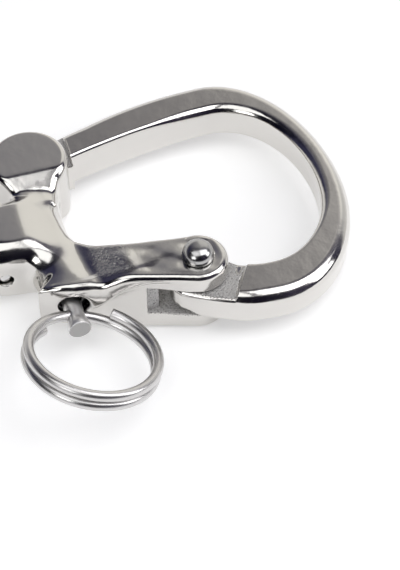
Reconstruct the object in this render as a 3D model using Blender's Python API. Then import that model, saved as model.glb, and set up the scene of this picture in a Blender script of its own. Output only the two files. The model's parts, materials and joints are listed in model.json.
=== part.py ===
"""Swivel snap shackle in polished stainless steel, closed, lying flat on its side.

The long axis runs along X, from the swivel eye at -X to the round bow at +X.
The jaw's pivot and the pull ring are on the -Y side, the latch is on the +Y side.
Z = 0 is the flat underside of the hub, where the long axis crosses it.
All sizes below are in millimetres; the meshes are made in metres.
GAP is the clearance between neighbours, EDGE the run of a square shoulder on a turned
profile, and PAST how far a cutter reaches beyond what it cuts.
"""
import math

import bmesh
import bpy
from mathutils import Matrix, Vector

MM = 0.001
GAP = 0.3
EDGE = 0.02
PAST = 10.0

# Overall thickness and the middle plane that the whole shackle is balanced on
BODY_THICK = 13.2
MID = BODY_THICK / 2

# Pivot: fork cheeks, rivet and slot
PIVOT_X, PIVOT_Y = 28.4, -15.8
FORK_RADIUS = 5.0
FORK_GAP = 6.0
RIVET_RADIUS = 2.2
RIVET_HEAD_RADIUS = 2.65
RIVET_HEAD_HEIGHT = 2.2
PIVOT_HOLE_RADIUS = RIVET_RADIUS + GAP
RIVET_FLARE_RADIUS = 3.2
RIVET_FLARE_DEPTH = 1.6
SLOT_END_X = 19.2
SLOT_BACK_Y = -12.2
SLOT_OPEN_X = 23.4
FORK_NEAR_EDGE = [(6.0, -14.0), (8.0, -15.1), (10.0, -15.7), (12.0, -16.5), (15.4, -17.1),
                  (19.8, -18.3), (24.0, -19.7), (PIVOT_X, PIVOT_Y - FORK_RADIUS)]
FORK_INNER_EDGE = [(6.0, 4.0), (8.6, 0.3), (9.5, -2.6), (11.0, -4.9), (13.0, -6.9), (15.0, -8.2),
                   (17.0, -9.1), (21.8, -10.0), (PIVOT_X, PIVOT_Y + FORK_RADIUS)]
FORK_SLICES = (6.0, 7.4, 8.6, 9.5, 11.0, 13.0, 15.0, 17.0, 19.4, 21.8, 24.0, 26.2)
FORK_RISE_X, FORK_RISE_LENGTH = 8.5, 8.5
ROUND_END_DEG = (0, 15, 30, 45, 58, 70, 80)

# Plunger, its bore in the housing, and the latch at the far end
PLUNGER_X = 7.0
HOUSING_RADIUS = 4.7
HOUSING_FLANK = 4.5
CAST_ROUND = 1.1
HOUSING_FACE_Y = -15.3
HOUSING_TAPER = [(-7.0, HOUSING_RADIUS), (-3.0, 4.2), (-0.4, 3.3), (2.0, 3.0), (11.0, 3.0)]
PLUNGER_END_Y = -20.1
PLUNGER_TIP_Y = 12.5
PLUNGER_CHAMFER = 0.35
PULL_RADIUS = 1.85
WAIST_RADIUS = 1.6
COLLAR_RADIUS = 2.75
NOSE_RADIUS = 1.6
WAIST_START_Y = -11.0
COLLAR_START_Y, COLLAR_END_Y = -5.6, -4.2
MOUTH_RADIUS = 2.6
BORE_RADIUS = 3.3
BORE_END_Y = -3.0
NOSE_BORE_RADIUS = NOSE_RADIUS + GAP
BUSH_START_Y, BUSH_END_Y = -13.3, -12.0
RING_HOLE_Y = -17.05
RING_HOLE_RADIUS = 1.42
LATCH_WALL_Y = 12.4
LATCH_WALL_X = 3.0
LATCH_GAP = 6.6
LATCH_END_Y = 20.4
LATCH_BACK_X, LATCH_FRONT_X = 0.2, 13.6
LATCH_ROUND = (LATCH_FRONT_X - LATCH_BACK_X) / 2
LATCH_ROUND_Y = LATCH_END_Y - LATCH_ROUND
LATCH_LOW_EDGE = [(4.0, 3.6), (8.0, 2.4), (11.0, 0.6), (LATCH_ROUND_Y, LATCH_BACK_X)]
LATCH_HIGH_EDGE = [(4.0, 9.2), (8.0, 10.7), (11.0, 12.8), (LATCH_ROUND_Y, LATCH_FRONT_X)]
LATCH_SLICES = (4.0, 6.0, 8.0, 9.5, 11.0, 12.3)
LATCH_RISE_Y, LATCH_RISE_LENGTH = 6.0, 5.0
SOCKET_RADIUS = 2.0
SOCKET_END_Y = 17.0

# Plunger spring
SPRING_MEAN_RADIUS = 2.5
SPRING_WIRE_RADIUS = 0.32
SPRING_TURNS = 4.0
SPRING_POINTS_PER_TURN = 10

# Jaw: the bow is two quarter ellipses that meet at its tip, the arms run on as shallow parabolas
JAW_THICK = 7.1
JAW_INNER_ROUND, JAW_OUTER_ROUND = 0.8, 2.2
BOW_INNER_X, BOW_INNER_REACH, BOW_INNER_TIP_Y = 41.0, 12.8, -0.6
BOW_OUTER_X, BOW_OUTER_REACH, BOW_OUTER_TIP_Y = 40.6, 17.8, -2.0
NEAR_INNER_Y, NEAR_OUTER_Y = -17.8, -25.55
FAR_INNER_Y, FAR_OUTER_Y = 18.1, 25.5
NEAR_INNER_BEND, NEAR_OUTER_BEND = 0.047, 0.0225
FAR_INNER_BEND, FAR_OUTER_BEND = 0.0053, 0.0072
NEAR_STEP_INNER_X, NEAR_STEP_OUTER_X = 36.4, 32.8
FAR_STEP_X = 14.5
TONGUE_RADIUS, BEAK_RADIUS = 4.3, 5.6
BEAK_START_DEG, BEAK_END_DEG = 152.0, 212.0
TONGUE_THICK = FORK_GAP - 2 * GAP
TONGUE_INSET = 0.3
LATCH_TONGUE_THICK = LATCH_GAP - 2 * GAP
LATCH_FACE_Y = LATCH_WALL_Y + 0.25
LATCH_TIP_X = LATCH_WALL_X + 0.6

# Pull ring, a split ring of nearly two turns with its ends short of the pin
RING_RADIUS = 10.6
RING_WIRE_RADIUS = 0.85
RING_PITCH = 2.2
RING_END_DEG = 35.0
RING_TURN_DEG = -2.0
RING_TILT_DEG = 10.5
RING_ROLL_DEG = 18.0
RING_WIRE_Y = RING_HOLE_Y + 0.05
RING_POINTS_PER_TURN = 24

# Swivel: hub, stud, thrust washer and eye
HUB_END_X = -5.6
HUB_ROUND = 4.4
HUB_STATIONS = [(8.4, 8.9, 4.3), (6.5, 8.8, 4.9), (4.2, 8.0, 6.0), (2.4, 7.3, MID), (-3.4, 6.4, MID),
                (-4.6, 6.0, 6.2), (-5.3, 5.4, 5.6), (HUB_END_X, 4.9, 5.1)]
STUD_RADIUS = 2.3
STUD_BORE_RADIUS = STUD_RADIUS + GAP
STUD_BORE_END_X = 1.6
STUD_HEAD_RADIUS = 3.6
STUD_HEAD_START_X, STUD_HEAD_END_X = -16.8, -14.5
WASHER_RADIUS = 4.6
WASHER_START_X, WASHER_END_X = -6.9, -5.9
EYE_NECK_END_X = -7.2
EYE_X = -20.3
EYE_HOLE_RADIUS = 6.0
EYE_OUTER_RADIUS = 10.8
EYE_THICK = 6.2
EYE_SOFT, EYE_SOFT_MIDDLE = 1.5, 0.45
EYE_NECK_ROUND = 3.2
EYE_NECK_STATIONS = [(-17.5, 7.4, 2.8), (-14.4, 6.6, 3.6), (-12.0, 5.6, 4.4), (-9.5, 5.2, 4.8),
                     (EYE_NECK_END_X - 0.6, 5.2, 4.8), (EYE_NECK_END_X, 4.6, 4.2)]
LOCK_PIN_X = -2.2
LOCK_PIN_RADIUS = 1.0
LOCK_PIN_HALF_LENGTH = 5.9

ROUND_SIDES = 36


# Colours, one material to each piece
def steel(name, colour, roughness):
    material = bpy.data.materials.new(name)
    material.use_nodes = True
    shader = material.node_tree.nodes["Principled BSDF"]
    shader.inputs["Base Color"].default_value = (*colour, 1.0)
    shader.inputs["Metallic"].default_value = 1.0
    shader.inputs["Roughness"].default_value = roughness
    return material


# Mesh helpers
def object_from_bmesh(name, bm, material):
    """Turn a bmesh in millimetres into a smooth-shaded object in metres."""
    bmesh.ops.scale(bm, vec=(MM, MM, MM), verts=bm.verts)
    bmesh.ops.recalc_face_normals(bm, faces=bm.faces)
    mesh = bpy.data.meshes.new(name)
    bm.to_mesh(mesh)
    bm.free()
    mesh.shade_smooth()
    mesh.set_sharp_from_angle(angle=math.radians(35))
    obj = bpy.data.objects.new(name, mesh)
    bpy.context.scene.collection.objects.link(obj)
    if material:
        mesh.materials.append(material)
    return obj


def loft(name, rings, material=None, closed=False):
    """Skin a row of equal rings; the end rings are capped unless the row closes on itself."""
    bm = bmesh.new()
    loops = [[bm.verts.new(point) for point in ring] for ring in rings]
    count = len(rings[0])
    pairs = list(zip(loops, loops[1:]))
    if closed:
        pairs.append((loops[-1], loops[0]))
    else:
        bm.faces.new(loops[0])
        bm.faces.new(loops[-1])
    for first, second in pairs:
        for i in range(count):
            j = (i + 1) % count
            bm.faces.new((first[i], first[j], second[j], second[i]))
    return object_from_bmesh(name, bm, material)


def circle(centre, axis, radius, sides=ROUND_SIDES):
    """Ring of points about a centre, square to the axis, which is 'X', 'Y' or 'Z'."""
    points = []
    for i in range(sides):
        angle = 2 * math.pi * i / sides
        a, b = radius * math.cos(angle), radius * math.sin(angle)
        offset = {"X": (0, a, b), "Y": (b, 0, a), "Z": (a, b, 0)}[axis]
        points.append(Vector(centre) + Vector(offset))
    return points


def turned(name, profile, axis, centre, material=None, sides=ROUND_SIDES, closed=False):
    """Turned piece: the profile is a list of (place along the axis, radius)."""
    step = {"X": Vector((1, 0, 0)), "Y": Vector((0, 1, 0)), "Z": Vector((0, 0, 1))}[axis]
    rings = [circle(Vector(centre) + step * place, axis, radius, sides) for place, radius in profile]
    return loft(name, rings, material, closed)


def tube_wall(name, start, end, inner, outer, axis, centre, material, bevel):
    """Plain bush or washer: a rectangle with small bevels, turned about the axis."""
    profile = [(start, inner), (start, outer - bevel), (start + bevel, outer),
               (end - bevel, outer), (end, outer - bevel), (end, inner)]
    return turned(name, profile, axis, centre, material, closed=True)


def box(name, low, high):
    bm = bmesh.new()
    bmesh.ops.create_cube(bm, size=1.0)
    size = [b - a for a, b in zip(low, high)]
    middle = [(a + b) / 2 for a, b in zip(low, high)]
    bmesh.ops.scale(bm, vec=size, verts=bm.verts)
    bmesh.ops.translate(bm, vec=middle, verts=bm.verts)
    return object_from_bmesh(name, bm, None)


def place_origin(obj, point):
    """Put an object's origin on its joint's axis and leave its shape where it is."""
    offset = Vector(point) * MM
    obj.data.transform(Matrix.Translation(-offset))
    obj.location = offset


def combine(target, other, operation):
    """Add a Boolean modifier, and keep the other shape as a hidden wire."""
    modifier = target.modifiers.new(other.name, "BOOLEAN")
    modifier.operation = operation
    modifier.object = other
    modifier.solver = "EXACT"
    other.hide_render = True
    other.display_type = "WIRE"


def rounded_section(half_width, half_height, radius, steps=4):
    """Rounded rectangle about (0, 0) as (across, up) pairs, with equal corners."""
    radius = min(radius, half_width * 0.98, half_height * 0.98)
    points = []
    for corner, (sx, sy) in enumerate(((1, 1), (-1, 1), (-1, -1), (1, -1))):
        for k in range(steps + 1):
            angle = math.pi / 2 * (corner + k / steps)
            across = sx * (half_width - radius) + radius * math.cos(angle)
            up = sy * (half_height - radius) + radius * math.sin(angle)
            points.append((across, up))
    return points


def ease(t):
    """Smooth step from 0 to 1."""
    t = min(max(t, 0.0), 1.0)
    return t * t * (3 - 2 * t)


def read_curve(place, knots):
    """Read a smooth cubic through (place, value) knots, its slopes taken from their neighbours."""
    last = len(knots) - 1
    k = 0
    while k < last - 1 and place > knots[k + 1][0]:
        k += 1

    def slope(i):
        (x0, y0), (x1, y1) = knots[max(i - 1, 0)], knots[min(i + 1, last)]
        return (y1 - y0) / (x1 - x0)

    (x0, y0), (x1, y1) = knots[k], knots[k + 1]
    span = x1 - x0
    t = min(max((place - x0) / span, 0.0), 1.0)
    rise = ease(t)
    lead = t * (1 - t) * (1 - t) * span * slope(k)
    tail = t * t * (1 - t) * span * slope(k + 1)
    return y0 + (y1 - y0) * rise + lead - tail


# Body: housing barrel, hub, fork arm and latch lug joined into one casting
def fork_arm():
    """Arm from the housing to the pivot, in slices across X, ending round about the pivot."""
    slices = [(x, read_curve(x, FORK_NEAR_EDGE), read_curve(x, FORK_INNER_EDGE)) for x in FORK_SLICES]
    for degrees in ROUND_END_DEG:
        angle = math.radians(degrees)
        reach = FORK_RADIUS * math.cos(angle)
        slices.append((PIVOT_X + FORK_RADIUS * math.sin(angle), PIVOT_Y - reach, PIVOT_Y + reach))
    rings = []
    for x, near, inner in slices:
        half_height = HOUSING_FLANK + (MID - HOUSING_FLANK) * ease((x - FORK_RISE_X) / FORK_RISE_LENGTH)
        section = rounded_section((inner - near) / 2, half_height, CAST_ROUND, 3)
        rings.append([(x, (near + inner) / 2 + across, MID + up) for across, up in section])
    return loft("fork_arm", rings)


def latch_lug():
    """Block at the far end of the housing, in slices across Y, with a half-round end."""
    middle = (LATCH_FRONT_X + LATCH_BACK_X) / 2
    slices = [(y, read_curve(y, LATCH_LOW_EDGE), read_curve(y, LATCH_HIGH_EDGE)) for y in LATCH_SLICES]
    for degrees in ROUND_END_DEG:
        angle = math.radians(degrees)
        reach = LATCH_ROUND * math.cos(angle)
        slices.append((LATCH_ROUND_Y + LATCH_ROUND * math.sin(angle), middle - reach, middle + reach))
    rings = []
    for y, low, high in slices:
        half_height = HOUSING_FLANK + (MID - HOUSING_FLANK) * ease((y - LATCH_RISE_Y) / LATCH_RISE_LENGTH)
        section = rounded_section((high - low) / 2, half_height, CAST_ROUND, 3)
        rings.append([((low + high) / 2 + across, y, MID + up) for across, up in section])
    return loft("latch_lug", rings)


def hub():
    """Swivel end of the body, in slices across X, with flat pads above and below."""
    rings = []
    for x, half_width, half_height in HUB_STATIONS:
        section = rounded_section(half_width, half_height, HUB_ROUND, 5)
        rings.append([(x, across, MID + up) for across, up in section])
    return loft("hub", rings)


def make_body(material):
    centre = (PLUNGER_X, 0, MID)
    face = HOUSING_FACE_Y
    mouth = CAST_ROUND * 0.9
    barrel = [(face, HOUSING_RADIUS - mouth), (face + 0.3, HOUSING_RADIUS - mouth / 3),
              (face + mouth, HOUSING_RADIUS), *HOUSING_TAPER]
    body = turned("body", barrel, "Y", centre, material)
    for piece in (fork_arm(), latch_lug(), hub()):
        combine(body, piece, "UNION")

    low, high = MID - FORK_GAP / 2, MID + FORK_GAP / 2
    fork_past = PIVOT_X + FORK_RADIUS + PAST
    near_past, inner_past = PIVOT_Y - FORK_RADIUS - PAST, PIVOT_Y + FORK_RADIUS + PAST
    pocket = box("fork_pocket", (SLOT_END_X, near_past, low), (fork_past, SLOT_BACK_Y, high))
    slot = box("fork_slot", (SLOT_OPEN_X, near_past, low), (fork_past, inner_past, high))
    latch_slot = box("latch_slot", (LATCH_WALL_X, LATCH_WALL_Y, MID - LATCH_GAP / 2),
                     (LATCH_FRONT_X + PAST, LATCH_END_Y + PAST, MID + LATCH_GAP / 2))

    lip_end = BUSH_START_Y - GAP
    bore = turned("plunger_bore", [(face - 1.0, MOUTH_RADIUS + 1.4), (face + 0.6, MOUTH_RADIUS),
                                   (lip_end, MOUTH_RADIUS), (lip_end + EDGE, BORE_RADIUS),
                                   (BORE_END_Y, BORE_RADIUS), (BORE_END_Y + EDGE, NOSE_BORE_RADIUS),
                                   (LATCH_WALL_Y + 1.0, NOSE_BORE_RADIUS)], "Y", centre)
    flare = RIVET_FLARE_RADIUS + 2 * GAP
    flare_slope = (flare - PIVOT_HOLE_RADIUS) / RIVET_FLARE_DEPTH
    pivot_hole = turned("pivot_hole", [(-1.0, flare + flare_slope), (RIVET_FLARE_DEPTH, PIVOT_HOLE_RADIUS),
                                       (BODY_THICK + 1.0, PIVOT_HOLE_RADIUS)], "Z", (PIVOT_X, PIVOT_Y, 0))
    stud_bore = turned("stud_bore", [(HUB_END_X - 1.0, STUD_BORE_RADIUS),
                                     (STUD_BORE_END_X, STUD_BORE_RADIUS)], "X", (0, 0, MID))
    pin_hole = turned("lock_pin_hole", [(-PAST, LOCK_PIN_RADIUS + GAP), (PAST, LOCK_PIN_RADIUS + GAP)],
                      "Y", (LOCK_PIN_X, 0, MID), sides=24)
    for cutter in (pocket, slot, latch_slot, bore, pivot_hole, stud_bore, pin_hole):
        combine(body, cutter, "DIFFERENCE")
    return body


# Jaw: one bent bar whose ends are thinned to tongues
def near_inner(x):
    return NEAR_INNER_Y + NEAR_INNER_BEND * (BOW_INNER_X - x) ** 2


def near_outer(x):
    return NEAR_OUTER_Y + NEAR_OUTER_BEND * (BOW_OUTER_X - x) ** 2


def far_inner(x):
    return FAR_INNER_Y - FAR_INNER_BEND * (BOW_INNER_X - x) ** 2


def far_outer(x):
    return FAR_OUTER_Y - FAR_OUTER_BEND * (BOW_OUTER_X - x) ** 2


def about_pivot(degrees, radius):
    angle = math.radians(degrees)
    return Vector((PIVOT_X + radius * math.cos(angle), PIVOT_Y + radius * math.sin(angle)))


def between(start, end, count):
    return [start + (end - start) * i / (count - 1) for i in range(count)]


def spread(points, count):
    """Pick equally spaced points along a polyline, both ends included."""
    lengths = [0.0]
    for a, b in zip(points, points[1:]):
        lengths.append(lengths[-1] + (b - a).length)
    picked = []
    for target in between(0.0, lengths[-1], count):
        k = 1
        while k < len(lengths) - 1 and lengths[k] < target:
            k += 1
        t = (target - lengths[k - 1]) / (lengths[k] - lengths[k - 1])
        picked.append(points[k - 1].lerp(points[k], t))
    return picked


def beak_radius(degrees):
    """Reach of the tongue's end from the pivot, which grows towards its outer corner."""
    share = (degrees - BEAK_START_DEG) / (BEAK_END_DEG - BEAK_START_DEG)
    return TONGUE_RADIUS + (BEAK_RADIUS - TONGUE_RADIUS) * ease(share)


def pivot_tongue_edges(count):
    """Inner and outer edges of the pivot tongue, from its round end to the step in thickness."""
    inner = [about_pivot(a, TONGUE_RADIUS) for a in between(BEAK_START_DEG - 16, 12.0, 14)]
    inner += [Vector((x, near_inner(x))) for x in between(34.2, NEAR_STEP_INNER_X, 4)]
    outer = [about_pivot(a, beak_radius(a)) for a in between(BEAK_START_DEG, BEAK_END_DEG, 9)]
    outer += [Vector((x, near_outer(x))) for x in between(25.2, NEAR_STEP_OUTER_X, 8)]
    return list(zip(spread(inner, count), spread(outer, count)))


def latch_tongue_edges():
    """Inner and outer edges of the latch tongue, from the step in thickness to its tip."""
    inner = [(FAR_STEP_X, far_inner(FAR_STEP_X)), (12.9, LATCH_FACE_Y + 0.4), (12.2, LATCH_FACE_Y),
             (9.0, LATCH_FACE_Y), (6.0, LATCH_FACE_Y), (4.6, LATCH_FACE_Y),
             (LATCH_TIP_X, LATCH_FACE_Y + 1.0)]
    outer = [(FAR_STEP_X, far_outer(FAR_STEP_X)), (13.0, 20.2), (12.0, 20.0),
             (9.0, 19.4), (6.4, 18.5), (4.8, 17.6), (LATCH_TIP_X, 16.4)]
    return [(Vector(a), Vector(b)) for a, b in zip(inner, outer)]


def on_bow(degrees, middle_x, reach, tip_y, near_y, far_y):
    """Point of the bow's edge: -90 is the near arm's end, 0 the tip, 90 the far arm's end."""
    c, s = math.cos(math.radians(degrees)), math.sin(math.radians(degrees))
    side = far_y - tip_y if s > 0 else tip_y - near_y
    return Vector((middle_x + reach * c, tip_y + side * s))


def bow_edges():
    """Inner and outer edges of the full-thickness bar, from the pivot's step to the latch's step."""
    edges = []
    for t in between(0.0, 1.0, 5)[:-1]:
        xi = NEAR_STEP_INNER_X + (BOW_INNER_X - NEAR_STEP_INNER_X) * t
        xo = NEAR_STEP_OUTER_X + (BOW_OUTER_X - NEAR_STEP_OUTER_X) * t
        edges.append((Vector((xi, near_inner(xi))), Vector((xo, near_outer(xo)))))
    for degrees in between(-90.0, 90.0, 25):
        inner = on_bow(degrees, BOW_INNER_X, BOW_INNER_REACH, BOW_INNER_TIP_Y, NEAR_INNER_Y, FAR_INNER_Y)
        outer = on_bow(degrees, BOW_OUTER_X, BOW_OUTER_REACH, BOW_OUTER_TIP_Y, NEAR_OUTER_Y, FAR_OUTER_Y)
        edges.append((inner, outer))
    for t in between(0.0, 1.0, 9)[1:]:
        xi = BOW_INNER_X + (FAR_STEP_X - BOW_INNER_X) * t
        xo = BOW_OUTER_X + (FAR_STEP_X - BOW_OUTER_X) * t
        edges.append((Vector((xi, far_inner(xi))), Vector((xo, far_outer(xo)))))
    return edges


def jaw_ring(edge, thick, inner_round, outer_round, inset=0.0):
    """Section between an inner and an outer edge point, with unlike rounding on the two sides."""
    across = (edge[1] - edge[0]).normalized()
    inner, outer = edge[0] + across * inset / 2, edge[1] - across * inset
    width = (outer - inner).length
    half = thick / 2
    limit = width * 0.45
    ring = []
    corners = ((width, half, outer_round), (0.0, half, inner_round),
               (0.0, -half, inner_round), (width, -half, outer_round))
    for corner, (place, up, radius) in enumerate(corners):
        radius = min(radius, limit, half * 0.9)
        sx = -1 if place else 1
        sy = -1 if up > 0 else 1
        for k in range(4):
            angle = math.pi / 2 * (corner + k / 3)
            flat = inner + across * (place + sx * radius + radius * math.cos(angle))
            ring.append((flat.x, flat.y, MID + up + sy * radius + radius * math.sin(angle)))
    return ring


def make_jaw(material):
    rings = [jaw_ring(e, TONGUE_THICK, 0.5, 0.9, TONGUE_INSET) for e in pivot_tongue_edges(15)]
    rings += [jaw_ring(e, JAW_THICK, JAW_INNER_ROUND, JAW_OUTER_ROUND) for e in bow_edges()]
    rings += [jaw_ring(e, LATCH_TONGUE_THICK, 0.5, 1.0, TONGUE_INSET) for e in latch_tongue_edges()]
    jaw = loft("jaw", rings, material)
    hole = turned("jaw_pivot_hole", [(0.0, PIVOT_HOLE_RADIUS), (BODY_THICK, PIVOT_HOLE_RADIUS)],
                  "Z", (PIVOT_X, PIVOT_Y, 0))
    socket = turned("latch_socket", [(LATCH_FACE_Y - 2, SOCKET_RADIUS), (SOCKET_END_Y, SOCKET_RADIUS)],
                    "Y", (PLUNGER_X, 0, MID), sides=28)
    combine(jaw, hole, "DIFFERENCE")
    combine(jaw, socket, "DIFFERENCE")
    place_origin(jaw, (PIVOT_X, PIVOT_Y, MID))
    return jaw


# Pivot rivet: domed head on top, peened flush underneath
def make_rivet(material):
    base = BODY_THICK + GAP
    side = 0.7
    profile = [(0.1, RIVET_FLARE_RADIUS), (0.35, RIVET_FLARE_RADIUS),
               (RIVET_FLARE_DEPTH + 0.2, RIVET_RADIUS), (base, RIVET_RADIUS),
               (base + EDGE, RIVET_HEAD_RADIUS - 0.15), (base + 0.2, RIVET_HEAD_RADIUS),
               (base + side, RIVET_HEAD_RADIUS)]
    dome = RIVET_HEAD_HEIGHT - side
    for degrees in (18, 36, 54, 70, 82):
        angle = math.radians(degrees)
        profile.append((base + side + dome * math.sin(angle), RIVET_HEAD_RADIUS * math.cos(angle)))
    return turned("pivot_rivet", profile, "Z", (PIVOT_X, PIVOT_Y, 0), material)


def ring_directions():
    """Direction of the pull ring's wire through the pin, and outward from the ring's middle to the pin."""
    turn, roll, tilt = (math.radians(a) for a in (RING_TURN_DEG, RING_ROLL_DEG, RING_TILT_DEG))
    level_along = Vector((math.cos(turn), math.sin(turn), 0))
    level_out = Vector((-math.sin(turn), math.cos(turn), 0))
    along = math.cos(roll) * level_along - math.sin(roll) * Vector((0, 0, 1))
    out = math.cos(tilt) * level_out - math.sin(tilt) * along.cross(level_out)
    return along, out


# Plunger: pull end with a cross hole along the ring's wire, waist for the spring, collar and nose
def make_plunger(material):
    chamfer = PLUNGER_CHAMFER
    profile = [(PLUNGER_END_Y, PULL_RADIUS - chamfer), (PLUNGER_END_Y + chamfer, PULL_RADIUS),
               (WAIST_START_Y, PULL_RADIUS), (WAIST_START_Y + 0.3, WAIST_RADIUS),
               (COLLAR_START_Y, WAIST_RADIUS), (COLLAR_START_Y + EDGE, COLLAR_RADIUS),
               (COLLAR_END_Y, COLLAR_RADIUS), (COLLAR_END_Y + EDGE, NOSE_RADIUS),
               (PLUNGER_TIP_Y - chamfer, NOSE_RADIUS), (PLUNGER_TIP_Y, NOSE_RADIUS - chamfer)]
    plunger = turned("plunger_pin", profile, "Y", (PLUNGER_X, 0, MID), material, sides=32)
    hole = turned("ring_hole", [(-PAST, RING_HOLE_RADIUS), (PAST, RING_HOLE_RADIUS)], "X", (0, 0, 0),
                  sides=24)
    hole.location = Vector((PLUNGER_X, RING_HOLE_Y, MID)) * MM
    hole.rotation_euler = ring_directions()[0].to_track_quat("X", "Z").to_euler()
    combine(plunger, hole, "DIFFERENCE")
    place_origin(plunger, (PLUNGER_X, RING_HOLE_Y, MID))
    return plunger


# Wound pieces: one tube along worked-out points
def wound_tube(name, points, radius, material):
    """Round tube of eight sides along a row of points."""
    curve = bpy.data.curves.new(name, "CURVE")
    curve.dimensions = "3D"
    curve.bevel_depth = radius * MM
    curve.bevel_resolution = 1
    curve.use_fill_caps = True
    spline = curve.splines.new("POLY")
    spline.points.add(len(points) - 1)
    for slot, point in zip(spline.points, points):
        slot.co = (*(Vector(point) * MM), 1.0)
    curve.materials.append(material)
    obj = bpy.data.objects.new(name, curve)
    bpy.context.scene.collection.objects.link(obj)
    return obj


def least_gap(points, radius, points_per_turn):
    """Least distance between points at least half a turn apart, less the wire."""
    far = points_per_turn // 2
    best = min((Vector(a) - Vector(b)).length
               for i, a in enumerate(points) for b in points[i + far:])
    return best - 2 * radius


def make_spring(material):
    start, end = BUSH_END_Y + GAP + SPRING_WIRE_RADIUS, COLLAR_START_Y - GAP - SPRING_WIRE_RADIUS
    count = int(SPRING_TURNS * SPRING_POINTS_PER_TURN) + 1
    points = []
    for i in range(count):
        t = i / (count - 1)
        angle = 2 * math.pi * SPRING_TURNS * t
        points.append((PLUNGER_X + SPRING_MEAN_RADIUS * math.cos(angle), start + (end - start) * t,
                       MID + SPRING_MEAN_RADIUS * math.sin(angle)))
    gap = least_gap(points, SPRING_WIRE_RADIUS, SPRING_POINTS_PER_TURN)
    print(f"plunger_spring: least gap between turns {gap:.2f} mm")
    return wound_tube("plunger_spring", points, SPRING_WIRE_RADIUS, material)


def make_ring(material):
    """Split ring: level where it goes through the pin, a turn and a half-pitch above and below."""
    along, out = ring_directions()
    square = along.cross(out)
    crossing = Vector((PLUNGER_X, RING_WIRE_Y, MID))
    centre = crossing - RING_RADIUS * out
    first, last = RING_END_DEG, 720.0 - RING_END_DEG
    count = int((last - first) / 360 * RING_POINTS_PER_TURN) + 1
    points = []
    for degrees in between(first, last, count):
        angle = math.radians(degrees)
        level = RING_PITCH * (360.0 - degrees) / 360.0
        flat = RING_RADIUS * (math.sin(angle) * along + math.cos(angle) * out)
        points.append(centre + flat + level * square)
    gap = least_gap(points, RING_WIRE_RADIUS, RING_POINTS_PER_TURN)
    print(f"split_ring: least gap between turns {gap:.2f} mm")
    ring = wound_tube("split_ring", points, RING_WIRE_RADIUS, material)
    place_origin(ring, crossing)
    return ring


# Swivel end
def make_stud(material):
    bevel = 0.5
    start, end, radius = STUD_HEAD_START_X, STUD_HEAD_END_X, STUD_HEAD_RADIUS
    tip = STUD_BORE_END_X - GAP
    profile = [(start, radius - 1.4), (start + 0.35, radius - 0.55), (start + 1.0, radius), (end, radius),
               (end + EDGE, STUD_RADIUS), (tip - bevel, STUD_RADIUS), (tip, STUD_RADIUS - bevel)]
    stud = turned("swivel_stud", profile, "X", (0, 0, MID), material)
    hole = turned("stud_cross_hole", [(-PAST, LOCK_PIN_RADIUS + GAP), (PAST, LOCK_PIN_RADIUS + GAP)], "Y",
                  (LOCK_PIN_X, 0, MID), sides=24)
    combine(stud, hole, "DIFFERENCE")
    return stud


def make_lock_pin(material):
    half, bevel = LOCK_PIN_HALF_LENGTH, 0.25
    profile = [(-half, LOCK_PIN_RADIUS - bevel), (-half + bevel, LOCK_PIN_RADIUS),
               (half - bevel, LOCK_PIN_RADIUS), (half, LOCK_PIN_RADIUS - bevel)]
    return turned("stud_lock_pin", profile, "Y", (LOCK_PIN_X, 0, MID), material, sides=24)


def make_eye(material):
    """Eye: a flat-sided ring on a neck that turns on the stud."""
    half, soft, dip = EYE_THICK / 2, EYE_SOFT, EYE_SOFT_MIDDLE
    outer, inner = EYE_OUTER_RADIUS, EYE_HOLE_RADIUS
    profile = [(-half, inner + soft), (-half, outer - soft), (dip - half, outer - dip),
               (soft - half, outer), (half - soft, outer), (half - dip, outer - dip),
               (half, outer - soft), (half, inner + soft), (half - dip, inner + dip),
               (half - soft, inner), (soft - half, inner), (dip - half, inner + dip)]
    eye = turned("swivel_eye", profile, "Z", (EYE_X, 0, MID), material, sides=48, closed=True)
    rings = []
    for x, half_width, half_height in EYE_NECK_STATIONS:
        section = rounded_section(half_width, half_height, EYE_NECK_ROUND, 4)
        rings.append([(x, across, MID + up) for across, up in section])
    combine(eye, loft("eye_neck", rings), "UNION")
    clear = turned("eye_hole", [(0.0, inner), (BODY_THICK, inner)], "Z", (EYE_X, 0, 0), sides=48)
    bore = turned("eye_bore", [(EYE_X, STUD_BORE_RADIUS), (EYE_NECK_END_X + 1.0, STUD_BORE_RADIUS)],
                  "X", (0, 0, MID))
    seat_radius = STUD_HEAD_RADIUS + GAP
    seat = turned("stud_head_seat", [(EYE_X + 1.0, seat_radius), (STUD_HEAD_END_X + GAP, seat_radius)],
                  "X", (0, 0, MID))
    for cutter in (clear, bore, seat):
        combine(eye, cutter, "DIFFERENCE")
    place_origin(eye, (EYE_NECK_END_X, 0, MID))
    return eye


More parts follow.
